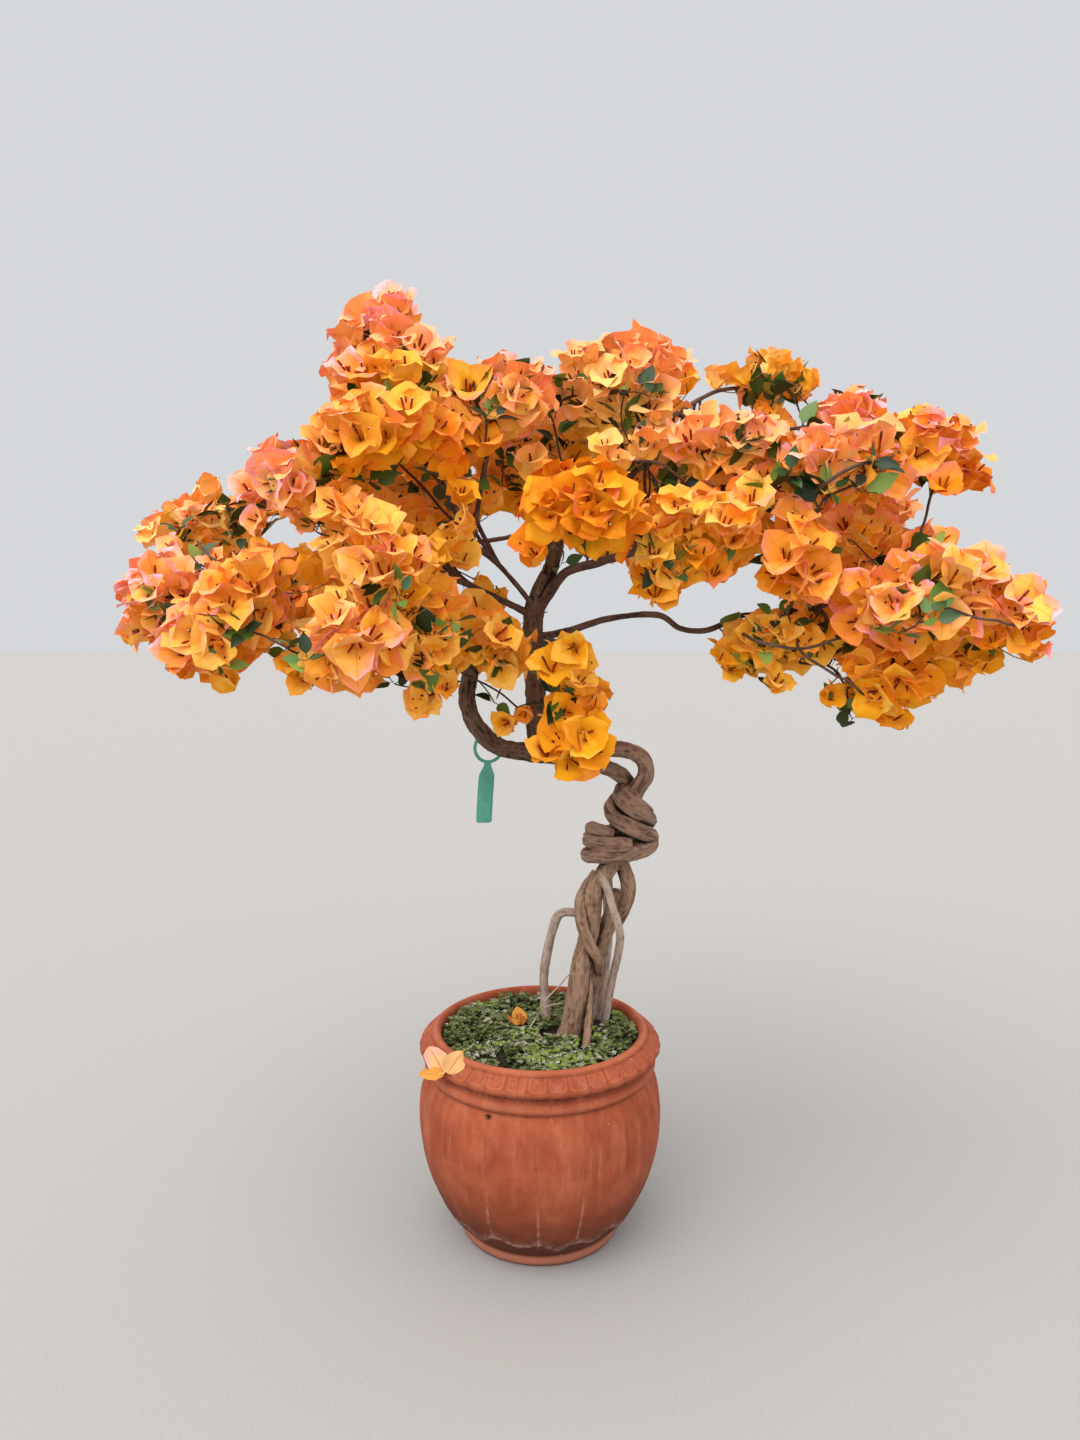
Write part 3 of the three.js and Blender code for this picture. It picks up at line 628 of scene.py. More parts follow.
stems_shape = Shape()
for name in ("stem_front", "stem_middle", "stem_loop_right", "stem_crossing"):
    limb(stems_shape, name, 0)
roots_shape = Shape()
for name in ("stem_back", "aerial_root_left_lower", "aerial_root_left_upper", "aerial_root_right"):
    limb(roots_shape, name, 0)
knot_shape = Shape()
for name in ("knot_core", "knot_coil_low", "knot_coil_middle", "knot_rope_low", "knot_rope_high", "neck_over", "neck_under"):
    limb(knot_shape, name, 0)
trunk_shape = Shape()
for name in ("trunk_bridge", "trunk_upper", "limb_up", "bough_left_low"):
    limb(trunk_shape, name, 0)
for name in ("limb_right", "bough_left_high", "bough_up_left", "bough_right_low"):
    limb(trunk_shape, name, 1)

# Small things on the stems: a spur root, two knot ends, fine rootlets.
EXTRA = [
    (knot_shape, [(66, 2, 494), (62, -6, 503), (72, -12, 501), (88, -12, 497)], 7.2, 6.4, "knot", ("round", "flat")),
    (knot_shape, [(104, 2, 549), (119, -10, 532), (130, -2, 520), (128, 14, 512)], 6.6, 6.8, "knot", ("flat", "flat")),
    (knot_shape, [(92, 16, 479), (103, 14, 487), (113, 12, 492), (124, 8, 498)], 8.6, 7.6, "knot", ("round", "round")),
    (knot_shape, [(92, 20, 464), (108, 22, 473), (121, 20, 481), (128, 13, 495), (126, 6, 506)], 7.4, 6.8, "knot", ("flat", "flat")),
    (stems_shape, [(52, -43, 228), (53, -41, 233), (57, -30, 250), (60, -14, 276), (61, -2, 306), (62, 3, 330)], 4.6, 3.4, "stem", ("flat", "round")),
    (roots_shape, [(18, -14, 240), (26, -10, 244), (36, -6, 248)], 3.4, 4.6, "root", ("round", "flat")),
]
for shape, places, r0, r1, kind, ends in EXTRA:
    pts = through(np.array(places, float) * MM, 1.6 * MM)
    strand(shape, pts, np.linspace(r0, r1, len(pts)) * MM, kind, ends=ends)
for places, r in (
    ([(0.571, 0.972), (0.560, 0.985), (0.548, 0.997), (0.538, 1.009)], 0.8),
    ([(0.563, 1.003), (0.552, 1.005), (0.543, 1.009), (0.536, 1.018), (0.529, 1.029)], 0.8),
):
    pts = np.array([seen(1000 * x, 1000 * y, -0.024 - 0.012 * k) for k, (x, y) in enumerate(places)])
    pts = through(pts, 2 * MM)
    strand(roots_shape, pts, r * MM, "root", sides=6, ends=("round", "round"))

# How closed in each place on the wood is: rays to the other strands, near by, with a share for the sides that face
# down; the bark paints this as shade.
WOOD = BVHTree.FromPolygons(*(lambda parts: (
    np.concatenate([v for v, _ in parts]).tolist(),
    np.concatenate([t + base for (_, t), base in zip(parts, np.cumsum([0] + [len(v) for v, _ in parts[:-1]]))]).tolist()))(
        [triangles_of(NODES[n]) for n in STEMS]))


def closed_in(shape, near=15 * MM, rays=10):
    v, way = np.concatenate(shape.v), np.concatenate(shape.way)
    g = np.random.default_rng(88)
    out = np.zeros(len(v))
    spread = unit(g.normal(0, 1, (len(v), rays, 3)))
    aim = unit(way[:, None] * 1.15 + spread)
    start = v + way * 2.6 * MM
    for k in range(len(v)):
        place, total = Vector(start[k]), 0.0
        for d in aim[k]:
            dist = WOOD.ray_cast(place, Vector(d), near)[3]
            if dist is not None:
                total += 1 - dist / near
        # painted shade: more where the strands close in, and on the sides that face down
        out[k] = total / rays + 0.10 * max(0.0, -way[k, 2])
    shape.extra["shade"] = [out.reshape(-1, 1)]


for shape in (stems_shape, roots_shape, knot_shape, trunk_shape):
    closed_in(shape)

# ------------------------------------------------------------------ pot
POT_OUT = [
    (0, 0), (60, 0), (90, 0), (96.4, 0.3), (98.2, 1.6), (99.2, 4), (99.9, 7), (100.2, 10), (99.9, 12), (98.8, 13.2),
    (98.4, 14.2), (99.6, 15.6), (103.2, 18.6), (107.6, 22.4), (112, 27), (117.6, 34.5), (122.6, 42.5), (127.2, 52), (132.6, 64),
    (137.6, 77), (142, 92), (145.4, 108), (147.8, 126), (149, 143), (149.1, 156), (148.3, 168), (146.4, 180),
    (143.2, 190), (139.8, 197.5), (137.4, 202.4), (136.6, 204.6), (137.0, 206.2), (139.4, 207.4), (141.2, 209.4), (142.1, 212.0),
    (142.2, 215.0), (141.5, 217.8), (139.9, 219.9), (138.2, 221.2), (137.4, 223.0), (137.5, 225.6), (138.6, 227.4),
    (142.4, 228.6), (146.4, 230.2), (148.2, 232.2), (148.5, 234.4), (147.4, 236.8), (145.0, 239.4), (142.0, 242.0),
    (139.0, 244.4), (136.2, 246.6), (134.4, 248.0), (133.6, 248.5), (133.0, 248.9), (132.6, 250.2), (131.4, 252.2),
    (129.4, 253.5), (127.0, 253.9), (124.8, 253.3), (123.0, 251.8), (121.9, 249.4), (121.6, 246.0), (121.9, 240.0),
    (124.4, 228.0), (132.0, 200.0), (138.4, 168), (137.0, 130), (132.0, 92), (112.0, 45), (92.0, 22), (88, 18.3), (60, 18), (0, 18),
]


def pot_profile():
    """The profile again, in steps short enough for its mouldings, as three stretches."""
    pts = [np.array(p, float) for p in POT_OUT]
    out = [pts[0]]
    for a, b in zip(pts, pts[1:]):
        mid = (a + b) / 2
        gap = np.linalg.norm(b - a)
        limit = 0.95 if 228.5 < mid[1] < 249 and mid[0] > 130 else (3.6 if mid[0] > 120 and mid[1] < 204 else (1.7 if mid[1] > 204 and mid[0] > 121.8 else 9))
        n = max(1, int(math.ceil(gap / limit)))
        out += [a + (b - a) * (k / n) for k in range(1, n + 1)]
    line = np.array(out)
    for _ in range(2):  # eases the corners of the body
        soft = line.copy()
        soft[1:-1] = 0.25 * line[:-2] + 0.5 * line[1:-1] + 0.25 * line[2:]
        keep = (line[:, 1] < 16) | (line[:, 1] > 203)
        soft[keep] = line[keep]
        line = soft
    top = int(np.argmax(line[:, 1]))
    rows = np.arange(len(line))
    first = int(rows[(rows < top) & (line[:, 1] > 227.6) & (line[:, 0] > 139)][0])
    last = int(rows[(rows < top) & (line[:, 0] > 133.2)][-1]) + 1
    return line, top, first, last


def pot_surface(line, outside, around):
    """Points and masks of some rows of the profile, turned round in `around` steps."""
    th = np.arange(around) * 2 * math.pi / around        # 0 faces the front, turning to the right
    r = np.repeat(line[:, :1], around, 1) * MM
    z = np.repeat(line[:, 1:], around, 1) * MM
    ang = np.broadcast_to(th[None], r.shape)
    out = np.repeat(outside[:, None], around, 1)
    # sixteen upright lobes, parted by creases that a hand pressed into the clay
    lobe = (ang - math.radians(-1.8)) / (2 * math.pi) * 16
    lobe = lobe + 0.075 * noise(np.stack([np.cos(ang) * 2.2, np.sin(ang) * 2.2, z * 17], -1), 21)
    off = np.abs(lobe - np.round(lobe))                   # 0 on a crease
    which = np.round(lobe) % 16
    body = np.clip((z - 0.016) / 0.02, 0, 1) * np.clip((0.2035 - z) / 0.03, 0, 1) * out
    depth_here = 0.75 + 0.45 * noise(np.stack([which * 3.1, z * 11, z * 0], -1), 22)
    crease = np.exp(-((off * 2 * math.pi * r / 16) / (1.9 * MM)) ** 2)
    broad = (1 - np.cos(2 * math.pi * off)) * 0.5
    dr = body * (-1.05 * MM * crease * depth_here + 0.75 * MM * (broad - 0.55))
    # the clay is uneven
    n3 = np.stack([r * np.cos(ang), r * np.sin(ang), z], -1)
    dr = dr + out * np.clip((0.21 - z) / 0.01, 0.25, 1) * (0.60 * MM * fbm(n3 / 0.030, 3, 23) + 0.20 * MM * fbm(n3 / 0.007, 2, 24))
    # the embossed band under the lip: a row of round-footed tongues, each with a loop in it
    band = out & (z > 0.2305) & (z < 0.2493) & (r > 0.1325)
    up_face = np.clip((0.1487 - r) / (0.1487 - 0.1336), 0, 1) * 20.5 * MM
    pitch = 2 * math.pi / 38
    tt = (ang + math.radians(6.0)) / pitch
    tt = tt + 0.05 * noise(np.stack([np.floor(tt) * 1.7, r * 0, r * 0], -1), 25)
    cell = np.floor(tt)
    x = (tt - cell - 0.5) * 23.4 * MM                     # across the tongue
    wave = 0.45 * MM * noise(n3 / 0.0045, 26)
    half_w, half_h, corner = 10.5 * MM, 11.8 * MM, 6.6 * MM
    qx = np.abs(x) - half_w + corner
    qy = np.abs(up_face - 13.2 * MM) - half_h + corner
    box = np.hypot(np.maximum(qx, 0), np.maximum(qy, 0)) + np.minimum(np.maximum(qx, qy), 0) - corner + wave
    gap = 1 / (1 + np.exp(-(box - 0.35 * MM) / (0.38 * MM)))
    border = np.exp(-((box + 1.5 * MM) / (0.95 * MM)) ** 2)
    sunk = 1 / (1 + np.exp((box + 3.1 * MM) / (0.35 * MM)))
    tilt = 0.6 * noise(np.stack([cell * 2.3, cell * 0, cell * 0], -1), 27)
    ex, ey = x + 0.5 * MM * tilt, up_face - 10.2 * MM
    ring = np.hypot(ex, ey * 0.82) - 4.0 * MM + wave * 0.7
    own = noise(np.stack([cell * 1.9 + 0.5, cell * 0, cell * 0], -1), 36)
    open_at = np.arctan2(ey, ex) - 2.6 - 3.4 * own
    opened = 1 - np.exp(-((open_at + math.pi) % (2 * math.pi) - math.pi) ** 2 / 0.30)
    loop = np.exp(-(ring / (1.0 * MM)) ** 2) * opened
    wear = 0.78 + 0.34 * noise(n3 / 0.012, 30)
    seam = np.exp(-(((ang + math.radians(9.8) + math.pi) % (2 * math.pi) - math.pi) * 0.14 / (0.6 * MM) + 0.5 * noise(n3 / 0.003, 33)) ** 2)
    edge = np.clip(up_face / (1.2 * MM), 0, 1) * np.clip((20.5 * MM - up_face) / (1.0 * MM), 0, 1)
    curl = np.exp(-((np.hypot(ex - 1.2 * MM, (ey + 1.0 * MM) * 0.9) - 1.3 * MM) / (0.9 * MM)) ** 2)
    loop = np.clip(loop * (0.55 + 0.45 * own) + curl * (0.45 - 0.45 * own), 0, 1)
    relief = -1.00 * gap + 0.55 * border - 0.25 * sunk + 0.60 * loop * sunk + 0.35 * noise(n3 / 0.0028, 37)
    relief = relief * wear - 0.9 * seam + 0.16 * fbm(n3 / 0.0035, 2, 34)
    emboss = band * edge * relief * MM
    dr = dr + emboss * 0.74
    dz = emboss * 0.70
    # scalloped lower edge of the band
    scallop = np.clip(np.abs(x) / (11.7 * MM), 0, 1) ** 3
    low_edge = out * np.exp(-((z - 0.2320) / 0.0026) ** 2) * (r > 0.141)
    dr = dr - (1.7 * scallop + 0.5 * (1 + noise(n3 / 0.006, 28))) * MM * low_edge

    # a knocked chip and a slit on the front
    def spot(px, py, wide, high):
        c = seen(px, py, -0.135)
        a0 = math.atan2(c[0], -c[1])
        return ((ang - a0 + math.pi) % (2 * math.pi) - math.pi) * 0.145 / wide, (z - c[2]) / high

    u, v = spot(484, 1121, 4.6 * MM, 2.6 * MM)
    chip = np.exp(-(u**2 + (v + 0.25 * u) ** 2) ** 1.5) * (1 + 0.5 * noise(n3 / 0.0030, 29)) * out
    chip = np.clip(chip * 1.5 - 0.35, 0, 1)
    u, v = spot(537, 1166, 4.8 * MM, 1.3 * MM)
    slit = np.exp(-u**2 - v**2) * out
    dr = dr - 2.8 * MM * chip - 1.3 * MM * slit
    r2, z2 = r + dr, z + dz
    points = np.stack([r2 * np.sin(ang), -r2 * np.cos(ang), z2], -1)
    # masks for the material
    strong = 0.30 + 0.70 * np.isin(which, (15, 0, 1)) * 1.0
    low_part = np.clip((0.140 - z) / 0.05, 0, 1) * np.clip((z - 0.030) / 0.006, 0, 1)
    thread = np.exp(-((off * 2 * math.pi * r / 16) / (1.15 * MM)) ** 2)
    salt_z = 0.0405 + 0.0055 * noise(np.stack([np.cos(ang) * 3, np.sin(ang) * 3, ang * 0], -1), 31) + 0.0045 * np.cos(2 * math.pi * off)
    salt_z = salt_z + 0.0012 * noise(n3 / 0.006, 35)
    masks = {
        "crease": thread * body * low_part * strong,
        # painted shade along the upper creases
        "crease_shade": np.exp(-((off * 2 * math.pi * r / 16) / (1.5 * MM)) ** 2) * body * np.clip((z - 0.10) / 0.05, 0, 1) * depth_here,
        # darker towards the bottom
        "damp": np.clip((0.138 - z) / 0.105, 0, 1) ** 1.1 * out,
        "under": np.clip((salt_z - z) / 0.003, 0, 1) * (z > 0.0136) * out * (r < 0.135),
        "salt": (np.exp(-((z - salt_z) / 0.0016) ** 2) + 0.30 * np.exp(-((z - salt_z - 0.004) / 0.004) ** 2)) * out,
        # dirt and painted shade in the grooves, between the tongues and along the seam
        "dirt": np.clip(np.exp(-((z - 0.2245) / 0.0034) ** 2) + np.exp(-((r - 0.1335) / 0.0007) ** 2) * (z > 0.246) * 0.9
                        + band * edge * gap * 0.46 + np.exp(-((z - 0.2052) / 0.0013) ** 2) * 0.85
                        + band * edge * sunk * (1 - loop) * 0.12 + band * seam * 0.7 + np.exp(-((z - 0.0140) / 0.0010) ** 2) * (z > 0.0125), 0, 1) * out,
        "worn": np.clip(band * edge * (border * 0.45 + loop * sunk * 0.40) + np.exp(-((z - 0.2135) / 0.0030) ** 2) * (r > 0.139) * 0.5
                        + np.exp(-((z - 0.2530) / 0.0016) ** 2) * 0.6, 0, 1) * out,
        "foot": np.exp(-((z - 0.0078) / 0.0052) ** 6) * out * (r > 0.095),
        # the chip and the slit, for their painted shade
        "chip": np.clip(chip * 1.5, 0, 1) + 0.55 * slit * (v > -0.2),
    }
    return points, masks


def stitch(a, m, b, n):
    """Triangles between a ring of m points from index a and the next, of n points from b."""
    tris = []
    if n >= m:
        k, i = n // m, np.arange(m)
        nxt = a + (i + 1) % m
        for t in range(k):
            foot = a + i if t < k // 2 else nxt
            tris.append(np.stack([foot, b + (k * i + t + 1) % n, b + k * i + t], -1))
        tris.append(np.stack([a + i, nxt, b + (k * i + k // 2) % n], -1))
    else:
        k, i = m // n, np.arange(n)
        nxt = b + (i + 1) % n
        for t in range(k):
            head = b + i if t < k // 2 else nxt
            tris.append(np.stack([a + k * i + t, a + (k * i + t + 1) % m, head], -1))
        tris.append(np.stack([a + (k * i + k // 2) % m, nxt, b + i], -1))
    return np.concatenate(tris)


def build_pot():
    line, top, first, last = pot_profile()
    rows = np.arange(len(line))
    stretches = [(rows[1:first], 400), (rows[first:last + 1], 800), (rows[last + 1:top + 4], 400), (rows[top + 4:-1], 200)]
    verts, masks, quads, tris, rings = [], {}, [], [], []
    count = 0
    for idx, around in stretches:
        pts, mk = pot_surface(line[idx], idx <= top, around)
        verts.append(pts.reshape(-1, 3))
        for key, value in mk.items():
            masks.setdefault(key, []).append(np.asarray(value, float).reshape(-1))
        n = len(idx)
        i = np.arange(n - 1)[:, None] * around + np.arange(around)[None]
        j = np.arange(n - 1)[:, None] * around + (np.arange(around)[None] + 1) % around
        quads.append(np.stack([i, j, j + around, i + around], -1).reshape(-1, 4) + count)
        if rings:
            a, m = rings[-1]
            tris.append(stitch(a, m, count, around))
        rings.append((count + (n - 1) * around, around))
        count += n * around
    k = np.arange(400)
    tris.append(np.stack([np.full(400, count), (k + 1) % 400, k], -1))
    a, m = rings[-1]
    k = np.arange(m)
    tris.append(np.stack([np.full(m, count + 1), a + k, a + (k + 1) % m], -1))
    shape = Shape()
    shape.add(np.concatenate(verts + [[[0, 0, 0], [0, 0, 0.018]]]), np.concatenate(quads), np.concatenate(tris),
              **{key: np.concatenate(value + [[0, 0]]) for key, value in masks.items()})
    return shape


pot_shape = build_pot()
print("triangles pot", pot_shape.triangles)
pot = pot_shape.object("pot_terracotta", [terracotta_material()])

# ------------------------------------------------------------------ soil
SOIL_R = 0.1214


def soil_height(x, y):
    r = np.hypot(x, y)
    p = np.stack([x, y, x * 0], -1)
    h = 0.2400 - 0.0045 * np.clip((r - 0.075) / 0.045, 0, 1) ** 2
    h = h + 0.0030 * fbm(p / 0.022, 3, 41) + 0.0011 * fbm(p / 0.006, 2, 42)
    for sx, sy, wide in ((0.034, -0.005, 0.02), (0.054, 0.025, 0.018), (0.076, 0.049, 0.012), (0.009, 0.030, 0.012), (0.053, -0.041, 0.010)):
        h = h + 0.0035 * np.exp(-(np.hypot(x - sx, y - sy) / wide) ** 2)
    return np.minimum(h, 0.2468)


def build_soil():
    around, rings = 200, 96
    rad = SOIL_R * np.linspace(0, 1, rings + 1)[1:]
    th = np.arange(around) * 2 * math.pi / around
    x = rad[:, None] * np.cos(th)[None]
    y = rad[:, None] * np.sin(th)[None]
    z = soil_height(x, y)
    rows = [np.stack([x, y, z], -1)]
    for rr, zz in ((0.1213, 0.230), (0.1235, 0.222), (0.131, 0.195), (0.1372, 0.168), (0.1362, 0.13), (0.131, 0.092), (0.111, 0.046), (0.0875, 0.0195)):
        rows.append(np.stack([rr * np.cos(th), rr * np.sin(th), np.full(around, zz)], -1)[None])
    v = np.concatenate(rows)
    n = len(v)
    i = np.arange(n - 1)[:, None] * around + np.arange(around)[None]
    j = np.arange(n - 1)[:, None] * around + (np.arange(around)[None] + 1) % around
    quads = np.stack([i, i + around, j + around, j], -1).reshape(-1, 4)
    k = np.arange(around)
    c = n * around
    top = np.stack([np.full(around, c), k, (k + 1) % around], -1)
    low = np.stack([np.full(around, c + 1), (n - 1) * around + (k + 1) % around, (n - 1) * around + k], -1)
    centre = [0, 0, float(soil_height(np.zeros(1), np.zeros(1))[0])]
    shape = Shape()
    shape.add(np.concatenate([v.reshape(-1, 3), [centre, [0, 0, 0.0195]]]), quads, np.concatenate([top, low]))
    return shape


soil = build_soil().object("soil_surface", [soil_material()])

# A low mat of moss and tiny rosettes on the soil, with bare patches.
MOSS = [("moss_dark", "#424a2a"), ("moss_olive", "#666d3e"), ("moss_sage", "#828862"), ("moss_grey", "#a2a38a"), ("moss_bright", "#7e9045"), ("moss_pale", "#beb99c")]
STEM_FEET = [(0.034, -0.005, 0.020), (0.054, 0.025, 0.018), (0.076, 0.049, 0.012), (0.009, 0.030, 0.010), (0.079, 0.028, 0.009), (0.053, -0.041, 0.010)]


def build_moss():
    g = np.random.default_rng(515)
    shape = Shape()
    leaf = np.array([[0, 0, 0], [0.55, -0.46, 0.10], [0.62, 0, -0.06], [1.0, 0, 0.0], [0.55, 0.46, 0.10]])
    faces = [[0, 1, 3, 2], [0, 2, 3, 4]]
    for _ in range(5300):
        r, a = 0.1185 * math.sqrt(g.random()), g.uniform(0, 2 * math.pi)
        x, y = r * math.cos(a), r * math.sin(a)
        here = np.array([[x, y, 0.0]])
        cover = noise(here / 0.030, 71)[0] + 0.45 * noise(here / 0.011, 72)[0]
        foot = max(math.exp(-((math.hypot(x - sx, y - sy) / (wide * 1.25)) ** 2)) for sx, sy, wide in STEM_FEET)
        if cover < -0.66 + 1.7 * foot:
            continue
        z = float(soil_height(np.array([x]), np.array([y]))[0])
        high = max(0.0, g.normal(4.2, 2.2) + 3.5 * cover + 2.5 * (r > 0.09)) * MM
        kind = noise(here / 0.026 + 9.3, 73)[0] + g.normal(0, 0.28)
        tint = int(np.clip(round(2.2 + 2.6 * kind), 0, 5))
        if g.random() < 0.10:
            tint = int(g.integers(6))
        size = g.uniform(3.0, 5.4) * MM * (0.85 + 0.3 * (tint in (1, 4)))
        n = int(g.integers(4, 7))
        lean = np.array([g.normal(0, 0.25), g.normal(0, 0.25), 1.0])
        frame_ = basis(lean, g.uniform(0, 6.28))
        centre = np.array([x, y, z + high])
        for k in range(n):
            turn_ = k * 2 * math.pi / n + g.normal(0, 0.15)
            rise = g.uniform(0.05, 0.75)
            ax = np.array([math.cos(turn_) * math.cos(rise), math.sin(turn_) * math.cos(rise), math.sin(rise)])
            ay = np.array([-math.sin(turn_), math.cos(turn_), 0.0])
            m = frame_ @ np.stack([ax, ay, np.cross(ax, ay)], axis=1)
            shape.add((leaf * size * g.uniform(0.8, 1.15)) @ m.T + centre, faces, None, tint)
        if high > 1.2 * MM:                            # its little stem, down into the soil
            w = 0.35 * MM
            ring = np.array([[w, 0, 0], [-w / 2, w * 0.87, 0], [-w / 2, -w * 0.87, 0]])
            stem = np.concatenate([ring + [x, y, z - 1 * MM], ring + centre])
            shape.add(stem, [[0, 1, 4, 3], [1, 2, 5, 4], [2, 0, 3, 5]], None, 0 if tint < 3 else 1)
    return shape


def basis(z, roll):
    z = unit(z)
    ref = np.array([0.0, 0.0, 1.0]) if abs(z[2]) < 0.9 else np.array([1.0, 0.0, 0.0])
    x = unit(np.cross(ref, z))
    y = np.cross(z, x)
    c, s = math.cos(roll), math.sin(roll)
    return np.stack([x * c + y * s, -x * s + y * c, z], axis=1)     # columns


moss_shape = build_moss()
print("triangles moss", moss_shape.triangles)
moss = moss_shape.object("moss_mat", [plain(n, c, 0.85, 0.12) for n, c in MOSS], smooth=False)
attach(moss, "root")

# ------------------------------------------------------------------ masses
rng = np.random.default_rng(20261)
TINT = {
    # place on the tint scale (0 pale gold, 4 orange, 7 coral, 11 pink), share of pink tips, and more or less painted
    # light
    "mass_top_left_crest": (4.3, 1.00, 1.0), "mass_top_left": (3.7, 0.70, 0.4), "mass_upper_left": (3.6, 0.45, -1.9),
    "mass_left_shoulder": (4.8, 1.00, 1.2), "mass_upper_middle": (3.5, 0.60, 0.9), "mass_centre_left": (3.0, 0.30, -0.6),
    "mass_back_left": (2.6, 0.50, 0.0), "mass_left_tip": (4.3, 1.00, -0.4), "mass_left_pad": (3.9, 0.70, -0.5),
    "mass_left_front": (3.6, 0.70, -0.2), "mass_left_low": (3.2, 0.45, -0.2), "mass_left_inner": (3.0, 0.15, -0.3),
    "mass_centre": (3.3, 0.45, -3.2), "mass_top_middle": (2.5, 0.60, 0.6), "mass_back_top_right": (2.9, 0.40, 0.1),
    "mass_right_upper": (3.6, 0.65, 1.0), "mass_right_middle": (3.3, 0.50, -1.3), "mass_right_droop": (2.3, 0.12, -0.5),
    "mass_right_top": (4.0, 1.00, 0.4), "mass_far_right_upper": (4.4, 0.75, -1.7), "mass_right_cluster": (4.0, 0.80, 0.0),
    "mass_right_small": (3.6, 0.60, -0.6), "mass_far_right": (4.2, 0.90, -0.2), "mass_far_right_low": (3.0, 0.30, -1.3),
    "mass_right_tip": (4.4, 1.00, -1.0), "mass_right_low": (2.4, 0.25, -0.4), "mass_front_flower": (2.0, 0.20, -1.2),
    "mass_front_cluster": (2.3, 0.30, -1.2), "mass_rear_upper_left": (4.2, 0.55, 0.0), "mass_rear_middle_left": (3.4, 0.35, -0.2),
    "mass_rear_left_low": (3.9, 0.50, -0.2), "mass_rear_centre": (3.5, 0.40, -0.2), "mass_rear_right": (4.0, 0.50, 0.0),
    "mass_rear_right_far": (4.2, 0.55, 0.0),
}
MASSES = sorted(n for n in NODES if n.startswith("mass_"))
assert set(MASSES) == set(TINT), set(MASSES) ^ set(TINT)


mass_mesh = {n: triangles_of(NODES[n]) for n in MASSES}
mass_centre = {n: (v.min(0) + v.max(0)) / 2 for n, (v, t) in mass_mesh.items()}
mass_half = {n: (v.max(0) - v.min(0)) / 2 for n, (v, t) in mass_mesh.items()}
allv, allt, base = [], [], 0
for n in MASSES:
    v, t = mass_mesh[n]
    allv.append(v)
    allt.append(t + base)
    base += len(v)
union = BVHTree.FromPolygons(np.concatenate(allv).tolist(), np.concatenate(allt).tolist())


def depth_inside(p):
    """How far inside the foliage a point is, in metres; below zero outside it."""
    co, nor, _, dist = union.find_nearest(Vector(p))
    return dist if (Vector(p) - co).dot(nor) < 0 else -dist


ROOM_LO = np.array(CAD_BOX[0]) - np.array([33, 22, 0]) * MM       # nothing on the plant reaches past these
ROOM_HI = np.array(CAD_BOX[1]) + np.array([33, 22, 30]) * MM
FLOWER_GAP = 25.4 * MM
REACH, SPREAD = 30 * MM, 23 * MM               # a flower's height over its foot, and half its width

mass_tree = {n: BVHTree.FromPolygons(v.tolist(), t.tolist()) for n, (v, t) in mass_mesh.items()}
BLEND = 20 * MM                                # masses run into one another over this distance


def blended(n, p, nor):
    """A place on one mass, moved out to where it runs into its neighbours, with the way out and the tint there."""
    weight, out, tint = 1.0, nor.copy(), np.array(TINT[n])
    for m in MASSES:
        if m == n or (np.abs(p - mass_centre[m]) > mass_half[m] + 60 * MM).any():
            continue
        co, face, _, dist = mass_tree[m].find_nearest(Vector(p), 0.065)
        if co is None:
            continue
        away = p - np.array(co)
        inside = away @ np.array(face) < 0
        if inside and dist > 15 * MM:
            return None
        w = math.exp(min(dist if inside else -dist, 15 * MM) / BLEND)
        out += w * (np.array(face) if inside or dist < 1e-6 else away / dist)
        tint = tint + w * np.array(TINT[m])
        weight += w
    size = np.linalg.norm(out)
    if size < 0.25:
        return None
    out = out / size
    return p + out * BLEND * math.log(weight) * min(1.0, 1.4 * size / weight), out, tint / weight


cand = []
for n in MASSES:
    v, t = mass_mesh[n]
    a, b, c = v[t[:, 0]], v[t[:, 1]], v[t[:, 2]]
    cross = np.cross(b - a, c - a)
    area = 0.5 * np.linalg.norm(cross, axis=1)
    nor = unit(cross)
    count = int(area.sum() / (FLOWER_GAP**2) * 5)
    pick = rng.choice(len(t), size=count, p=area / area.sum())
    u1, u2 = np.sqrt(rng.random(count)), rng.random(count)
    p = (1 - u1)[:, None] * a[pick] + (u1 * (1 - u2))[:, None] * b[pick] + (u1 * u2)[:, None] * c[pick]
    radial = unit((p - mass_centre[n]) / mass_half[n] ** 2)
    normal = unit(nor[pick] * 0.55 + radial * 0.75)
    rise = 7 * MM * (noise(p / 0.060, 71) - 0.15)
    for k in range(count):
        place = blended(n, p[k], normal[k])
        if place is not None:
            cand.append((n, place[0] + place[1] * rise[k], place[1], place[2]))
print("candidates", len(cand))

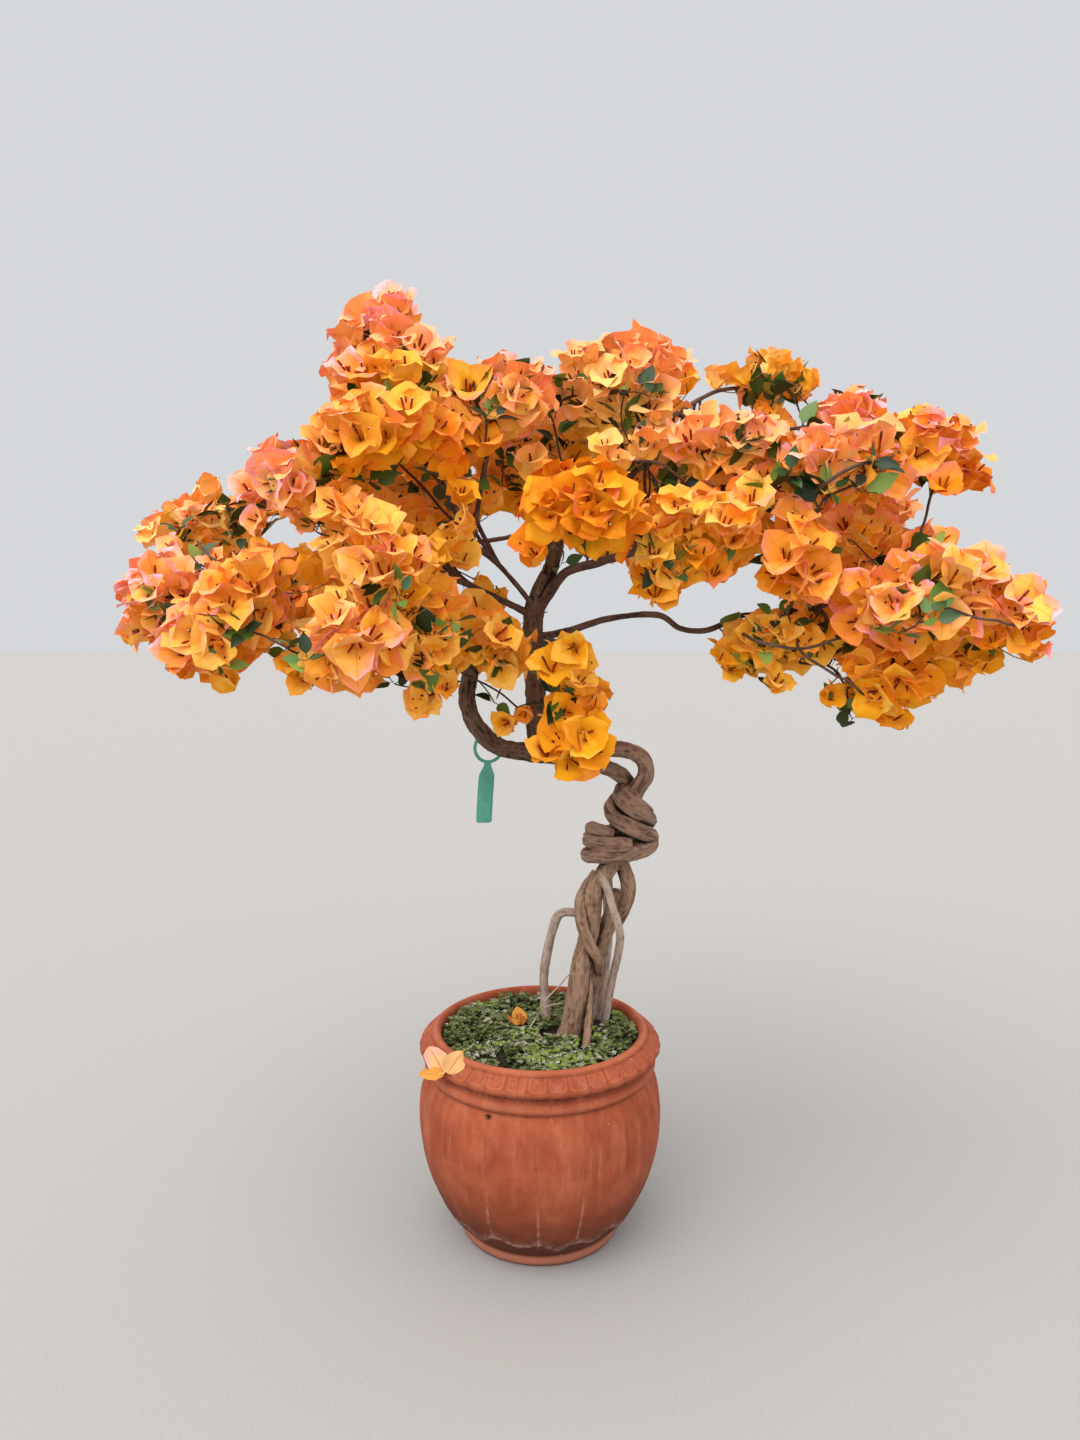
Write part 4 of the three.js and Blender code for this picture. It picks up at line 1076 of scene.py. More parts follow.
# Single heads that the picture shows in the creases and gaps of the crown.
CROWN_MID, CROWN_HALF = np.array([0.0, 0.0, 0.86]), np.array([0.50, 0.27, 0.26])
GAP_HEADS = [
    # picture place, depth in mm, and a size where it isn't 1
    (643, 452, -60), (655, 440, -60), (684, 384, -20, 0.8), (350, 372, -140), (366, 378, -150), (385, 374, -150), (404, 377, -150), (430, 375, -110),
    (330, 482, -150), (352, 466, -190), (302, 568, -100), (318, 575, -150), (236, 618, -150), (228, 682, -110), (190, 666, -110), (296, 668, -150, 0.8),
    (212, 490, 10, 0.75), (158, 538, 20, 0.8), (195, 556, -30), (175, 550, -20), (134, 632, -50, 0.9), (420, 702, -150, 0.9), (432, 692, -150), (446, 686, -150, 0.8),
    (256, 520, -120, 0.8), (262, 552, -100, 0.8), (254, 494, -120), (292, 506, -150, 0.8), (486, 592, 40), (494, 604, 46), (500, 640, -60), (478, 612, -60),
    (488, 506, -20), (452, 468, -150), (460, 496, -150), (466, 524, -150), (450, 548, -150), (978, 634, -170), (994, 640, -190, 0.85), (968, 652, -150),
    (978, 654, -160, 0.8), (1028, 588, -190, 0.75), (1034, 632, -190, 0.85), (950, 484, -110), (972, 480, -100), (862, 532, -100), (830, 696, -110, 0.7),
    (768, 636, -100), (700, 560, -170), (806, 548, -170), (680, 578, -150), (600, 500, -60), (530, 545, -150), (530, 470, -60),
    (880, 706, -100), (896, 717, -110, 0.8), (786, 480, -60), (776, 682, -110, 0.8), (506, 722, -34, 0.75), (524, 714, -34, 0.65), (552, 668, -120), (574, 648, -120, 0.9),
    (592, 702, -120, 0.85), (594, 724, -120, 0.85), (570, 760, -110), (558, 740, -120), (590, 750, -120), (572, 356, -50, 0.8), (590, 352, -50, 0.8),
    (484, 446, -110), (690, 380, -10, 0.8), (700, 392, -10, 0.7), (398, 305, -60, 0.85), (386, 312, -30), (370, 318, -20), (402, 324, -25), (390, 300, -45, 0.85), (334, 436, -110, 0.7), (438, 350, -60, 0.8), (208, 484, 110, 0.7), (147, 531, 30, 0.75), (214, 560, -40, 0.8), (285, 636, -150, 0.8),
    (377, 607, -200, 0.8), (306, 522, -130, 0.75), (715, 572, -150, 0.8), (724, 655, -80, 0.9), (732, 668, -80, 0.75), (1024, 582, -180, 0.85), (1030, 650, -190, 0.8),
    (944, 538, -150, 0.7), (944, 484, -140, 0.8), (462, 560, -120, 0.85), (535, 555, -190, 0.85), (620, 462, -80, 0.9), (606, 446, -80, 0.85), (655, 592, -150, 0.85), (668, 596, -140, 0.75), (286, 674, -140, 0.9), (306, 676, -140, 0.8), (984, 663, -160, 0.85), (124, 640, -50, 0.8), (232, 689, -110, 0.8), (765, 476, -100, 0.8), (578, 684, -120, 0.9), (566, 712, -120, 0.9), (584, 736, -130, 0.9), (546, 752, -120, 0.85),
    # along the shoot that carries the far spray, out of the picture's sight
    (718, 381, 185, 0.85), (812, 381, 190, 0.85), (772, 406, 180, 0.9), (786, 390, 180, 0.85), (800, 394, 185, 0.8), (758, 392, 172, 0.8), (740, 378, 160, 0.9), (780, 376, 160, 0.9), (793, 372, 150, 0.9), (802, 384, 160, 0.8),
    (735, 425, 110), (755, 432, 150), (722, 440, 140), (770, 445, 180), (748, 452, 130), (778, 428, 190), (740, 440, 165), (762, 420, 175),
]
for px, py, y, *more in GAP_HEADS:
    tip = seen(px, py, y * MM)
    gap_mass = min(MASSES, key=lambda n: float((((tip - mass_centre[n]) / mass_half[n]) ** 2).sum()))
    out = unit(unit((tip - CROWN_MID) / CROWN_HALF**2) * 0.6 + np.array([0, -0.45 if y < 60 else 0.5, 0.3]))
    cand.append((gap_mass, tip, out, np.array(TINT[gap_mass])))
FIXED = len(GAP_HEADS)
# Picture places, with a radius, that stay open, and where the outline lies further in, by so many mm.
TRIM = [(910, 530, 11), (500, 524, 15), (486, 542, 10), (590, 572, 14), (622, 560, 12), (722, 598, 16), (700, 398, 10), (576, 620, 10),
        (286, 700, 12), (272, 652, 10), (760, 704, 12), (640, 700, 12), (636, 730, 12), (846, 716, 10), (1000, 570, 17), (358, 693, 15), (532, 760, 12),
        (284, 552, 11), (278, 530, 8), (306, 548, 8), (100, 652, 9), (316, 360, 10), (748, 350, 15), (773, 348, 17), (799, 350, 15), (1056, 640, 11), (1008, 666, 13), (392, 704, 14), (744, 569, 14), (284, 678, 10), (286, 414, 16), (392, 726, 11), (414, 728, 8), (508, 528, 9), (904, 533, 9),
        (540, 666, 9), (585, 634, 9), (548, 714, 11), (535, 738, 9), (566, 785, 10), (1046, 606, 9)]
DRAW_IN = [(382, 287, 32, 16), (366, 312, 30, 4), (332, 332, 34, 6), (426, 335, 30, 3), (300, 418, 34, 3), (200, 492, 62, 3), (510, 362, 52, 7),
           (780, 358, 60, 26), (950, 420, 66, 1), (900, 724, 62, 4), (756, 690, 40, 5), (590, 548, 46, 6), (566, 640, 44, 7),
           (616, 716, 30, 9), (600, 328, 46, 5), (862, 372, 36, 1), (900, 398, 40, 3), (1046, 560, 20, 6), (262, 446, 44, 6)]
# Stray sprays that break the roundness of the rear; the picture's view doesn't reach them.
EYE = Vector((0.0, -1.20, 0.768))
stray = 0
for _ in range(900):
    if stray >= 46:
        break
    k = int(rng.integers(len(cand) - FIXED))
    n, p, nrm, tint = cand[k]
    if p[1] < 0.03 or nrm[1] < 0.1:
        continue
    tip = p + nrm * rng.uniform(12, 26) * MM
    lo, hi = np.array(CAD_BOX[0]) + 4 * MM, np.array(CAD_BOX[1]) - 4 * MM
    if (tip < lo).any() or (tip > hi).any():
        continue
    ray = (Vector(tip) - EYE)
    far = ray.length
    ray.normalize()
    hits = [union.ray_cast(EYE, (ray + Vector(rng.normal(0, 0.012, 3))).normalized(), far - 0.03)[0] for _ in range(5)]
    if any(h is None for h in hits):
        continue
    for _ in range(int(rng.integers(2, 5))):
        cand.append((n, tip + rng.normal(0, 11, 3) * MM, unit(nrm + rng.normal(0, 0.25, 3)), tint))
        FIXED += 1
    stray += 1
print("stray", stray)
filled = 0
for _ in range(6000):
    if filled >= 74:
        break
    tip = rng.uniform([-0.42, -0.07, 0.80], [0.43, 0.22, 1.06])
    d = depth_inside(tip)
    if not -55 * MM < d < -9 * MM:
        continue
    ray = (Vector(tip + np.array([0, 0, 12 * MM])) - EYE)
    far = ray.length
    ray.normalize()
    if any(union.ray_cast(EYE, (ray + Vector(rng.normal(0, 0.014, 3))).normalized(), far - 0.02)[0] is None for _ in range(8)):
        continue
    n = min(MASSES, key=lambda m: float((((tip - mass_centre[m]) / mass_half[m]) ** 2).sum()))
    way = unit((tip - CROWN_MID) / CROWN_HALF**2)
    for _ in range(int(rng.integers(3, 5))):
        cand.append((n, tip + rng.normal(0, 13, 3) * MM, unit(way + rng.normal(0, 0.3, 3)), np.array(TINT[n])))
        FIXED += 1
    filled += 1
print("filled", filled)
for px in range(704, 800, 16):
    for py in (432, 448, 464):
        for y in (95, 130, 165, 195):
            tip = seen(px + rng.normal(0, 4), py + rng.normal(0, 3), (y + rng.normal(0, 6)) * MM)
            cand.append(("mass_back_top_right" if py < 450 else "mass_rear_right", tip, unit((tip - CROWN_MID) / CROWN_HALF**2 + rng.normal(0, 0.4, 3)), np.array(TINT["mass_rear_right"])))
            FIXED += 1

# Leafy tips that show between the heads: picture place, how many leaves, and a depth in mm where no mass lies behind.
LEAFY = [
    (345, 472, 3), (356, 486, 3), (369, 480, 3), (418, 482, 2), (440, 461, 2), (476, 476, 2), (503, 457, 3), (518, 472, 3), (503, 486, 2), (571, 376, 2), (493, 414, 2),
    (417, 376, 2), (561, 562, 2, -60), (239, 630, 2), (216, 663, 3), (289, 655, 3), (304, 658, 3), (156, 612, 2), (239, 534, 2), (176, 530, 3), (196, 559, 3),
    (452, 620, 2), (423, 668, 3), (410, 678, 3), (392, 682, 3), (398, 595, 2), (538, 646, 2, -80), (495, 702, 2, -28), (558, 698, 3, -120), (554, 721, 2, -120),
    (792, 472, 3), (805, 489, 4), (832, 487, 3), (866, 489, 3), (872, 460, 2), (887, 466, 2), (616, 386, 3), (653, 393, 2), (683, 491, 3, -60), (678, 571, 3),
    (739, 446, 2), (779, 615, 3), (793, 620, 2), (822, 618, 2), (844, 647, 3), (766, 648, 2), (756, 673, 2), (934, 617, 4), (902, 632, 3), (840, 706, 3, -110),
    (856, 718, 2, -110), (655, 478, 3, -40), 
]
leafy_tip, leafy_many = [], []
for px, py, many, *deep in LEAFY:
    to = seen(px, py, 0.0) - np.array(EYE)
    hit = union.ray_cast(EYE, Vector(to), 3.0)[0]
    if deep or hit is None:
        far = seen(px, py, (deep[0] if deep else -90) * MM)
    else:
        far = np.array(hit)
    leafy_tip.append(far - unit(to) * 10 * MM)
    leafy_many.append(many)
leafy_tip = np.array(leafy_tip)

# Poisson thinning, nearest first come first served in a seeded order.
order = np.concatenate([np.arange(len(cand) - FIXED, len(cand)), rng.permutation(len(cand) - FIXED)])
cell = {}
chosen = []
for k in order:
    n, p, nrm, tint = cand[k]
    key = tuple((p // FLOWER_GAP).astype(int))
    clash = False
    for dx in (-1, 0, 1):
        for dy in (-1, 0, 1):
            for dz in (-1, 0, 1):
                for q in cell.get((key[0] + dx, key[1] + dy, key[2] + dz), ()):
                    if ((q - p) ** 2).sum() < (FLOWER_GAP * (0.6 if k >= len(cand) - FIXED else 1)) ** 2:
                        clash = True
                        break
                if clash:
                    break
            if clash:
                break
        if clash:
            break
    if clash:
        continue
    cell.setdefault(key, []).append(p)
    chosen.append(k)
print("flowers", len(chosen))

flower_mass = [cand[k][0] for k in chosen]
flower_tip = np.array([cand[k][1] for k in chosen])
flower_out = np.array([cand[k][2] for k in chosen])
flower_tint = np.array([cand[k][3] for k in chosen])
first = len(cand) - FIXED
flower_set = np.array([first <= k < first + len(GAP_HEADS) for k in chosen])
flower_size = np.array([GAP_HEADS[k - first][3] if first <= k < first + len(GAP_HEADS) and len(GAP_HEADS[k - first]) > 3 else 1.0 for k in chosen])
N = len(chosen)

# Each flower looks out from the crown, and up to the light.
drift = rng.normal(0, 1, (N, 3))
jitter = rng.normal(0, 1, (N, 3))
wide_out = unit((flower_tip - CROWN_MID) / CROWN_HALF**2)
to_light = np.where(flower_out[:, 2] > -0.35, 0.92, 0.46)[:, None] * np.array([-0.06, -0.20, 1.0])
flower_axis = unit(flower_out * 0.66 + 0.16 * drift + wide_out * 0.26 + to_light + 0.34 * jitter)
lift = (6.5 * noise(flower_tip / 0.045, 72) + rng.normal(0, 3.0, N)) * MM
facing = np.clip((flower_axis * flower_out).sum(1), -0.6, 1)[:, None]
reach = REACH * np.clip(facing, 0, 1) + SPREAD * np.sqrt(1 - facing**2)
flower_base = flower_tip - flower_out * reach - (flower_axis - flower_out * facing) * REACH * 0.5 + flower_out * lift[:, None]
flower_base[flower_set] = (flower_tip - flower_axis * 14 * MM)[flower_set]

# The outline comes in here and there, and flowers that would stand in the picture's gaps are left off.
place = shown(flower_base + flower_axis * 14 * MM)
for tx, ty, wide, inset in DRAW_IN:
    near = (1 - np.hypot(place[:, 0] - tx, place[:, 1] - ty) / (1.3 * wide)).clip(0, 1)
    flower_base -= flower_out * (inset * MM * np.minimum(1, 2.5 * near) * ~flower_set)[:, None]
place = shown(flower_base + flower_axis * 14 * MM)
keep = np.ones(N, bool)
for tx, ty, wide in TRIM:
    keep &= np.hypot(place[:, 0] - tx, place[:, 1] - ty) > wide
for spot, (tx, ty, *_) in zip(leafy_tip, LEAFY):
    keep &= (np.hypot(place[:, 0] - tx, place[:, 1] - ty) > 5.5) | (flower_base[:, 1] > spot[1] + 35 * MM)
flower_mass = [n for n, yes in zip(flower_mass, keep) if yes]
flower_tip, flower_out, flower_tint, flower_axis, flower_base, flower_size = (a[keep] for a in (flower_tip, flower_out, flower_tint, flower_axis, flower_base, flower_size))
N = int(keep.sum())
print("kept", N)

# ------------------------------------------------------------------ heads
# Flowers gather in heads; each head grows from one place on a twig.
HEAD_GAP = 62 * MM
heads = []
head_of = np.full(N, -1)
for k in rng.permutation(N):
    if head_of[k] >= 0:
        continue
    d = np.linalg.norm(flower_tip - flower_tip[k], axis=1)
    near = (d < HEAD_GAP * 0.62) & (head_of < 0) & ((flower_out @ flower_out[k]) > 0.1)
    head_of[near] = len(heads)
    heads.append(k)
H = len(heads)
head_mid = np.array([flower_tip[head_of == h].mean(0) for h in range(H)])
head_out = unit(np.array([flower_out[head_of == h].mean(0) for h in range(H)]))
head_size = np.array([(head_of == h).sum() for h in range(H)])
head_tone = rng.normal(0, 1, H)
head_base = np.zeros((H, 3))
for h in range(H):
    inset = 48 * MM + 8 * MM * rng.random()
    q = head_mid[h] - head_out[h] * inset
    for _ in range(4):  # stays inside a thin mass
        if depth_inside(q) > 4 * MM:
            break
        inset *= 0.8
        q = head_mid[h] - head_out[h] * inset
    head_base[h] = np.clip(q, ROOM_LO + 12 * MM, ROOM_HI - 12 * MM)
print("heads", H)
leafy_first = H
head_base = np.vstack([head_base, leafy_tip + np.array([0, 12, -3]) * MM])
H = len(head_base)

# How much of the sky each flower sees past the masses round it, which sets how much light is painted on it.
SKY = np.array([[math.cos(a) * math.cos(e), math.sin(a) * math.cos(e), math.sin(e)] for e in np.radians([12, 38, 66]) for a in np.radians(np.arange(8) * 45 + 20)])
SKY_WEIGHT = SKY[:, 2] + 0.25
exposure = np.zeros(N)
for k in range(N):
    start = Vector(flower_tip[k] + flower_out[k] * 12 * MM)
    clear = np.array([union.ray_cast(start, Vector(d), 0.6)[0] is None for d in SKY])
    exposure[k] = (clear * SKY_WEIGHT).sum() / SKY_WEIGHT.sum()
print("exposure", np.round(np.percentile(exposure, [5, 25, 50, 75, 95]), 2))

# ------------------------------------------------------------------ branching
# Boughs and twigs grow from the limbs towards the heads, a step at a time.
STEP = 10.5 * MM
KILL = 13 * MM
grow_from = {
    "limb_up": (0.55, 1.0), "limb_right": (0.25, 1.0), "bough_left_low": (0.85, 1.0), "bough_left_high": (0.55, 1.0),
    "bough_up_left": (0.45, 1.0), "bough_right_low": (0.35, 1.0),
}
# Side shoots that show in the gaps of the crown.
SHOOTS = {
    "shoot_front": [(4, -10, 655), (16, -30, 662), (28, -55, 664), (32, -72, 672)],
    "shoot_front_low": [(28, -55, 664), (38, -72, 650), (40, -84, 636)],
    # the long shoot of the far spray
    "shoot_far": [(20, -30, 838)] + [tuple(seen(x, y, d * MM) / MM) for x, y, d in ((630, 478, 20), (662, 428, 80), (688, 406, 130), (722, 390, 165), (752, 388, 180), (780, 386, 190))],
}
tree_pos, tree_parent, tree_dir, tree_root = [], [], [], []
for name, (f0, f1) in grow_from.items():
    pts = curves[name][0]
    s = np.linspace(0, 1, len(pts))
    idx = np.unique(np.round(np.linspace(f0, f1, max(2, int((f1 - f0) * len(pts) * 1.6 * MM / STEP))) * (len(pts) - 1)).astype(int))
    t = unit(np.gradient(pts, axis=0))
    last = -1
    for i in idx:
        tree_pos.append(pts[i])
        tree_dir.append(t[i])
        tree_parent.append(last)
        tree_root.append(name)
        last = len(tree_pos) - 1
for name, places in SHOOTS.items():
    pts = through(np.array(places, float) * MM, STEP)
    t = unit(np.gradient(pts, axis=0))
    last = -1
    for i in range(len(pts)):
        tree_pos.append(pts[i])
        tree_dir.append(t[i])
        tree_parent.append(last)
        tree_root.append(name)
        last = len(tree_pos) - 1
SEEDS = len(tree_pos)
tree_pos = [np.asarray(p, float) for p in tree_pos]

aim = head_base.copy()
near_i = np.zeros(H, int)
near_d = np.full(H, 1e9)


far_head = (aim[:, 0] > 0.10) & (aim[:, 1] > 0.09)


def refresh(first):
    block = np.array(tree_pos[first:])
    d = np.linalg.norm(aim[:, None] - block[None], axis=2)
    # the far spray's shoot carries no other head
    d = d + 0.15 * (np.array([r == "shoot_far" for r in tree_root[first:]])[None] & ~far_head[:, None])
    k = d.argmin(1)
    dm = d[np.arange(H), k]
    better = dm < near_d - 1e-9
    near_d[better] = dm[better]
    near_i[better] = k[better] + first


refresh(0)
alive = near_d > KILL
head_node = np.where(alive, -1, near_i)
children_of = {}
for it in range(160):
    if not alive.any():
        break
    pull = {}
    for h in np.nonzero(alive)[0]:
        pull.setdefault(int(near_i[h]), []).append(h)
    first = len(tree_pos)
    for i, hs in pull.items():
        way = unit(aim[hs] - tree_pos[i])
        weight = 1.0 / (0.03 + near_d[hs])
        d = (way * weight[:, None]).sum(0)
        d = unit(d)
        d = unit(d * 1.0 + np.asarray(tree_dir[i]) * 0.55 + rng.normal(0, 0.16, 3) + np.array([0, 0, 0.05]))
        q = tree_pos[i] + d * STEP
        if abs(q[0]) > 0.20:                           # out in the crown the wood keeps to the foliage
            co, face, _, dist = union.find_nearest(Vector(q))
            if (q - np.array(co)) @ np.array(face) > 0:
                q = q + (np.array(co) - q) * 0.75
                q = tree_pos[i] + unit(q - tree_pos[i]) * STEP
        old = children_of.get(i, [])
        if any(np.linalg.norm(q - tree_pos[c]) < 0.45 * STEP for c in old) or len(old) > 2:
            h = hs[int(near_d[hs].argmin())]           # stuck: go straight to the nearest head
            q = tree_pos[i] + unit(aim[h] - tree_pos[i]) * min(STEP, near_d[h])
            if any(np.linalg.norm(q - tree_pos[c]) < 0.25 * STEP for c in old):
                alive[h] = False
                head_node[h] = i
                continue
        children_of.setdefault(i, []).append(len(tree_pos))
        tree_pos.append(q)
        tree_dir.append(unit(q - tree_pos[i]))
        tree_parent.append(i)
        tree_root.append(tree_root[i])
    if len(tree_pos) == first:
        break
    refresh(first)
    done = alive & (near_d <= KILL)
    head_node[done] = near_i[done]
    alive &= ~done
for h in np.nonzero(head_node < 0)[0]:
    head_node[h] = near_i[h]
for h in range(H):  # the last bit of each twig, to the head itself
    i = int(head_node[h])
    if np.linalg.norm(aim[h] - tree_pos[i]) > 2 * MM:
        tree_pos.append(aim[h])
        tree_dir.append(unit(aim[h] - tree_pos[i]))
        tree_parent.append(i)
        tree_root.append(tree_root[i])
        head_node[h] = len(tree_pos) - 1
T = len(tree_pos)
P = np.array(tree_pos)
PAR = np.array(tree_parent)
print("twig nodes", T, "left", int(alive.sum()))

kids = [[] for _ in range(T)]
for i in range(T):
    if PAR[i] >= 0:
        kids[PAR[i]].append(i)
for _ in range(3):  # smooths the zigzags of growing
    Q = P.copy()
    for i in range(SEEDS, T):
        if len(kids[i]) == 1 and PAR[i] >= 0:
            Q[i] = 0.5 * P[i] + 0.25 * (P[PAR[i]] + P[kids[i][0]])
    P = Q
TIP_R = 0.85 * MM
POWER = 2.6
load = np.zeros(T)
heads_at = np.zeros(T)
for h in range(H):
    heads_at[head_node[h]] += 1
for i in range(T - 1, -1, -1):
    own = max(heads_at[i], 0.0) * TIP_R**POWER
    load[i] = own + sum(load[c] for c in kids[i])
R = np.maximum(load, TIP_R**POWER) ** (1 / POWER)
R = np.minimum(R, 3.0 * MM)

# Chains: each goes on through its thickest child, and the others start anew.
chains = []
starts = [(i, None) for i in range(T) if PAR[i] < 0]
while starts:
    i, before = starts.pop()
    chain = [] if before is None else [before]
    while True:
        chain.append(i)
        if not kids[i]:
            break
        ks = sorted(kids[i], key=lambda c: -load[c])
        for c in ks[1:]:
            starts.append((c, i))
        i = ks[0]
    if len(chain) > 1:
        chains.append(chain)
print("chains", len(chains))

boughs_shape, twigs_shape = Shape(), Shape()
twig_places = []          # (point, direction, radius) along thin wood, where leaves grow
for chain in chains:
    pts = P[chain]
    rad = R[chain].copy()
    rad[0] = min(rad[0], rad[1] * 1.5)
    if chain[0] < SEEDS and chain[-1] < SEEDS:
        continue                                   # the limb itself, made above
    fine = through(pts, 4.5 * MM)
    s0 = np.concatenate([[0], np.cumsum(np.linalg.norm(np.diff(pts, axis=0), axis=1))])
    s1 = np.concatenate([[0], np.cumsum(np.linalg.norm(np.diff(fine, axis=0), axis=1))])
    rr = np.interp(s1 / max(s1[-1], 1e-9), s0 / max(s0[-1], 1e-9), rad)
    wob = 0.5 * MM * noise(np.stack([s1 / 0.02, s1 * 0 + len(twig_places) * 0.37, s1 * 0], -1), 51)
    t, a, b = transport(fine)
    fine = fine + a * wob[:, None] + b * wob[::-1, None]
    thick = rr > 1.9 * MM
    if thick.any():
        last = int(np.nonzero(thick)[0].max()) + 1
        last = min(last, len(fine) - 1)
        if last >= 2:
            strand(boughs_shape, fine[:last + 1], rr[:last + 1], "bough", sides=10 if rr[0] > 3 * MM else 8, ends=("flat", "round"))
        fine, rr = fine[max(0, last - 1):], rr[max(0, last - 1):]
    if len(fine) >= 3:
        fine, rr = fine[::2] if len(fine) % 2 else np.vstack([fine[:-1:2], fine[-1:]]), rr[::2] if len(rr) % 2 else np.concatenate([rr[:-1:2], rr[-1:]])
    if len(fine) >= 2:
        strand(twigs_shape, fine, rr, "root", sides=6 if rr[0] > 1.3 * MM else 5, ends=("flat", "round"))
for i in range(SEEDS, T):
    if R[i] < 2.2 * MM:
        twig_places.append((P[i], unit(P[i] - P[PAR[i]]), R[i]))

# Thin boughs and twigs that the picture shows in front of the bracts and of the trunk.
SHOWN = [
    ([(735, 628, -60), (755, 640, -135), (780, 646, -142), (805, 648, -140), (842, 638, -140), (862, 642, -90)], 1.9, 1.5),
    ([(795, 640, -110), (805, 655, -135), (826, 670, -138), (848, 681, -135), (868, 698, -120), (878, 706, -90)], 1.6, 1.2),
    ([(800, 505, -100), (826, 483, -178), (855, 466, -184), (884, 459, -176), (905, 450, -110)], 2.0, 1.4),
    ([(925, 600, -150), (941, 606, -222), (975, 617, -226), (1008, 624, -220), (1028, 628, -190)], 1.7, 1.2),
    ([(615, 470, -20), (630, 461, -70), (660, 463, -74), (678, 476, -70), (692, 490, -50)], 1.9, 1.3),
    ([(196, 540, -60), (214, 560, -110), (232, 572, -120), (246, 580, -110)], 1.5, 1.1),
    ([(456, 668, -60), (467, 676, -24), (487, 685, -30), (507, 698, -26), (522, 712, -20), (535, 728, -13)], 1.4, 1.0),
    ([(520, 660, -18), (516, 672, -22), (504, 684, -24), (496, 700, -26)], 1.2, 0.9),
    ([(522, 624, -12), (536, 616, -24), (548, 612, -34)], 1.2, 0.8),
    ([(548, 648, -6), (541, 668, -14), (548, 690, -20)], 1.0, 0.8),
]
for places, r0, r1 in SHOWN:
    pts = through(np.array([seen(x, y, d * MM) for x, y, d in places]), 4.5 * MM)
    kinks = 1.1 * MM * noise(np.stack([np.arange(len(pts)) * 0.31, np.full(len(pts), 3.7 * r0 + places[0][0]), np.zeros(len(pts))], -1), 57)
    t, a, b = transport(pts)
    strand(boughs_shape, pts + a * kinks[:, None] + b * kinks[::-1, None], np.linspace(r0, r1, len(pts)) * MM, "bough", sides=8, ends=("round", "round"))

# ------------------------------------------------------------------ flowers
SCALE = ["#f7d079", "#f6c866", "#f5bf56", "#f4b54a", "#f4ab44", "#f4a144", "#f49a4b", "#f59657", "#f29369", "#f3947d", "#f49796", "#f5a3b1"]
DEEP = ["#eab731", "#e9ad25", "#e8a31b", "#e69a15", "#e58f13", "#e48514", "#e37c18", "#e27521", "#dc7234", "#dc7449", "#dc7a62", "#dc8478"]
TINTS = len(SCALE)


def blend(a, b, f):
    """A colour between two, f of the way."""
    a, b = ([int(t[i:i + 2], 16) for i in (1, 3, 5)] for t in (a, b))
    return "#" + "".join(f"{round(x + (y - x) * f):02x}" for x, y in zip(a, b))


# Four steps of painted light and shade, from the shaded heart of the crown to bracts that the sky shines through:
# shaded and lit copies of the tints, the last paler as a painted highlight, each with a painted glow.
blossom_mats = []
for step, (scale, rough, specular, sheen, glow) in enumerate([
        (DEEP, 0.52, 0.10, 0.04, 0.10), ([blend(a, b, 0.45) for a, b in zip(SCALE, DEEP)], 0.50, 0.16, 0.10, 0.10),
        (SCALE, 0.48, 0.24, 0.16, 0.09), ([blend(a, "#ffc8b0", 0.24) for a in SCALE[1:] + SCALE[-1:]], 0.46, 0.28, 0.22, 0.11)]):
    blossom_mats += [plain(f"bract_{'dusk shade day sky'.split()[step]}_{k:02d}", c, rough, specular, sheen, glow) for k, c in enumerate(scale)]
TUBE, TUBE_TIP, STAR = len(blossom_mats), len(blossom_mats) + 1, len(blossom_mats) + 2
blossom_mats += [plain("tube_red", "#a5391a", 0.5, 0.3), plain("tube_dark", "#7a2211", 0.5, 0.3), plain("tube_star", "#f2e4ae", 0.5, 0.3)]

ROW = np.array([0.0, 0.06, 0.16, 0.30, 0.45, 0.61, 0.76, 0.90, 1.0])
WIDE = np.interp(ROW, [0, 0.05, 0.12, 0.22, 0.36, 0.50, 0.64, 0.76, 0.86, 0.93, 0.97, 1.0], [0.12, 0.50, 0.80, 0.97, 1.02, 0.98, 0.87, 0.69, 0.45, 0.23, 0.10, 0.02])
COL = np.array([-1.0, -0.76, -0.42, -0.036, 0.036, 0.42, 0.76, 1.0])
MID = 3                                            # the strip of faces on the midrib


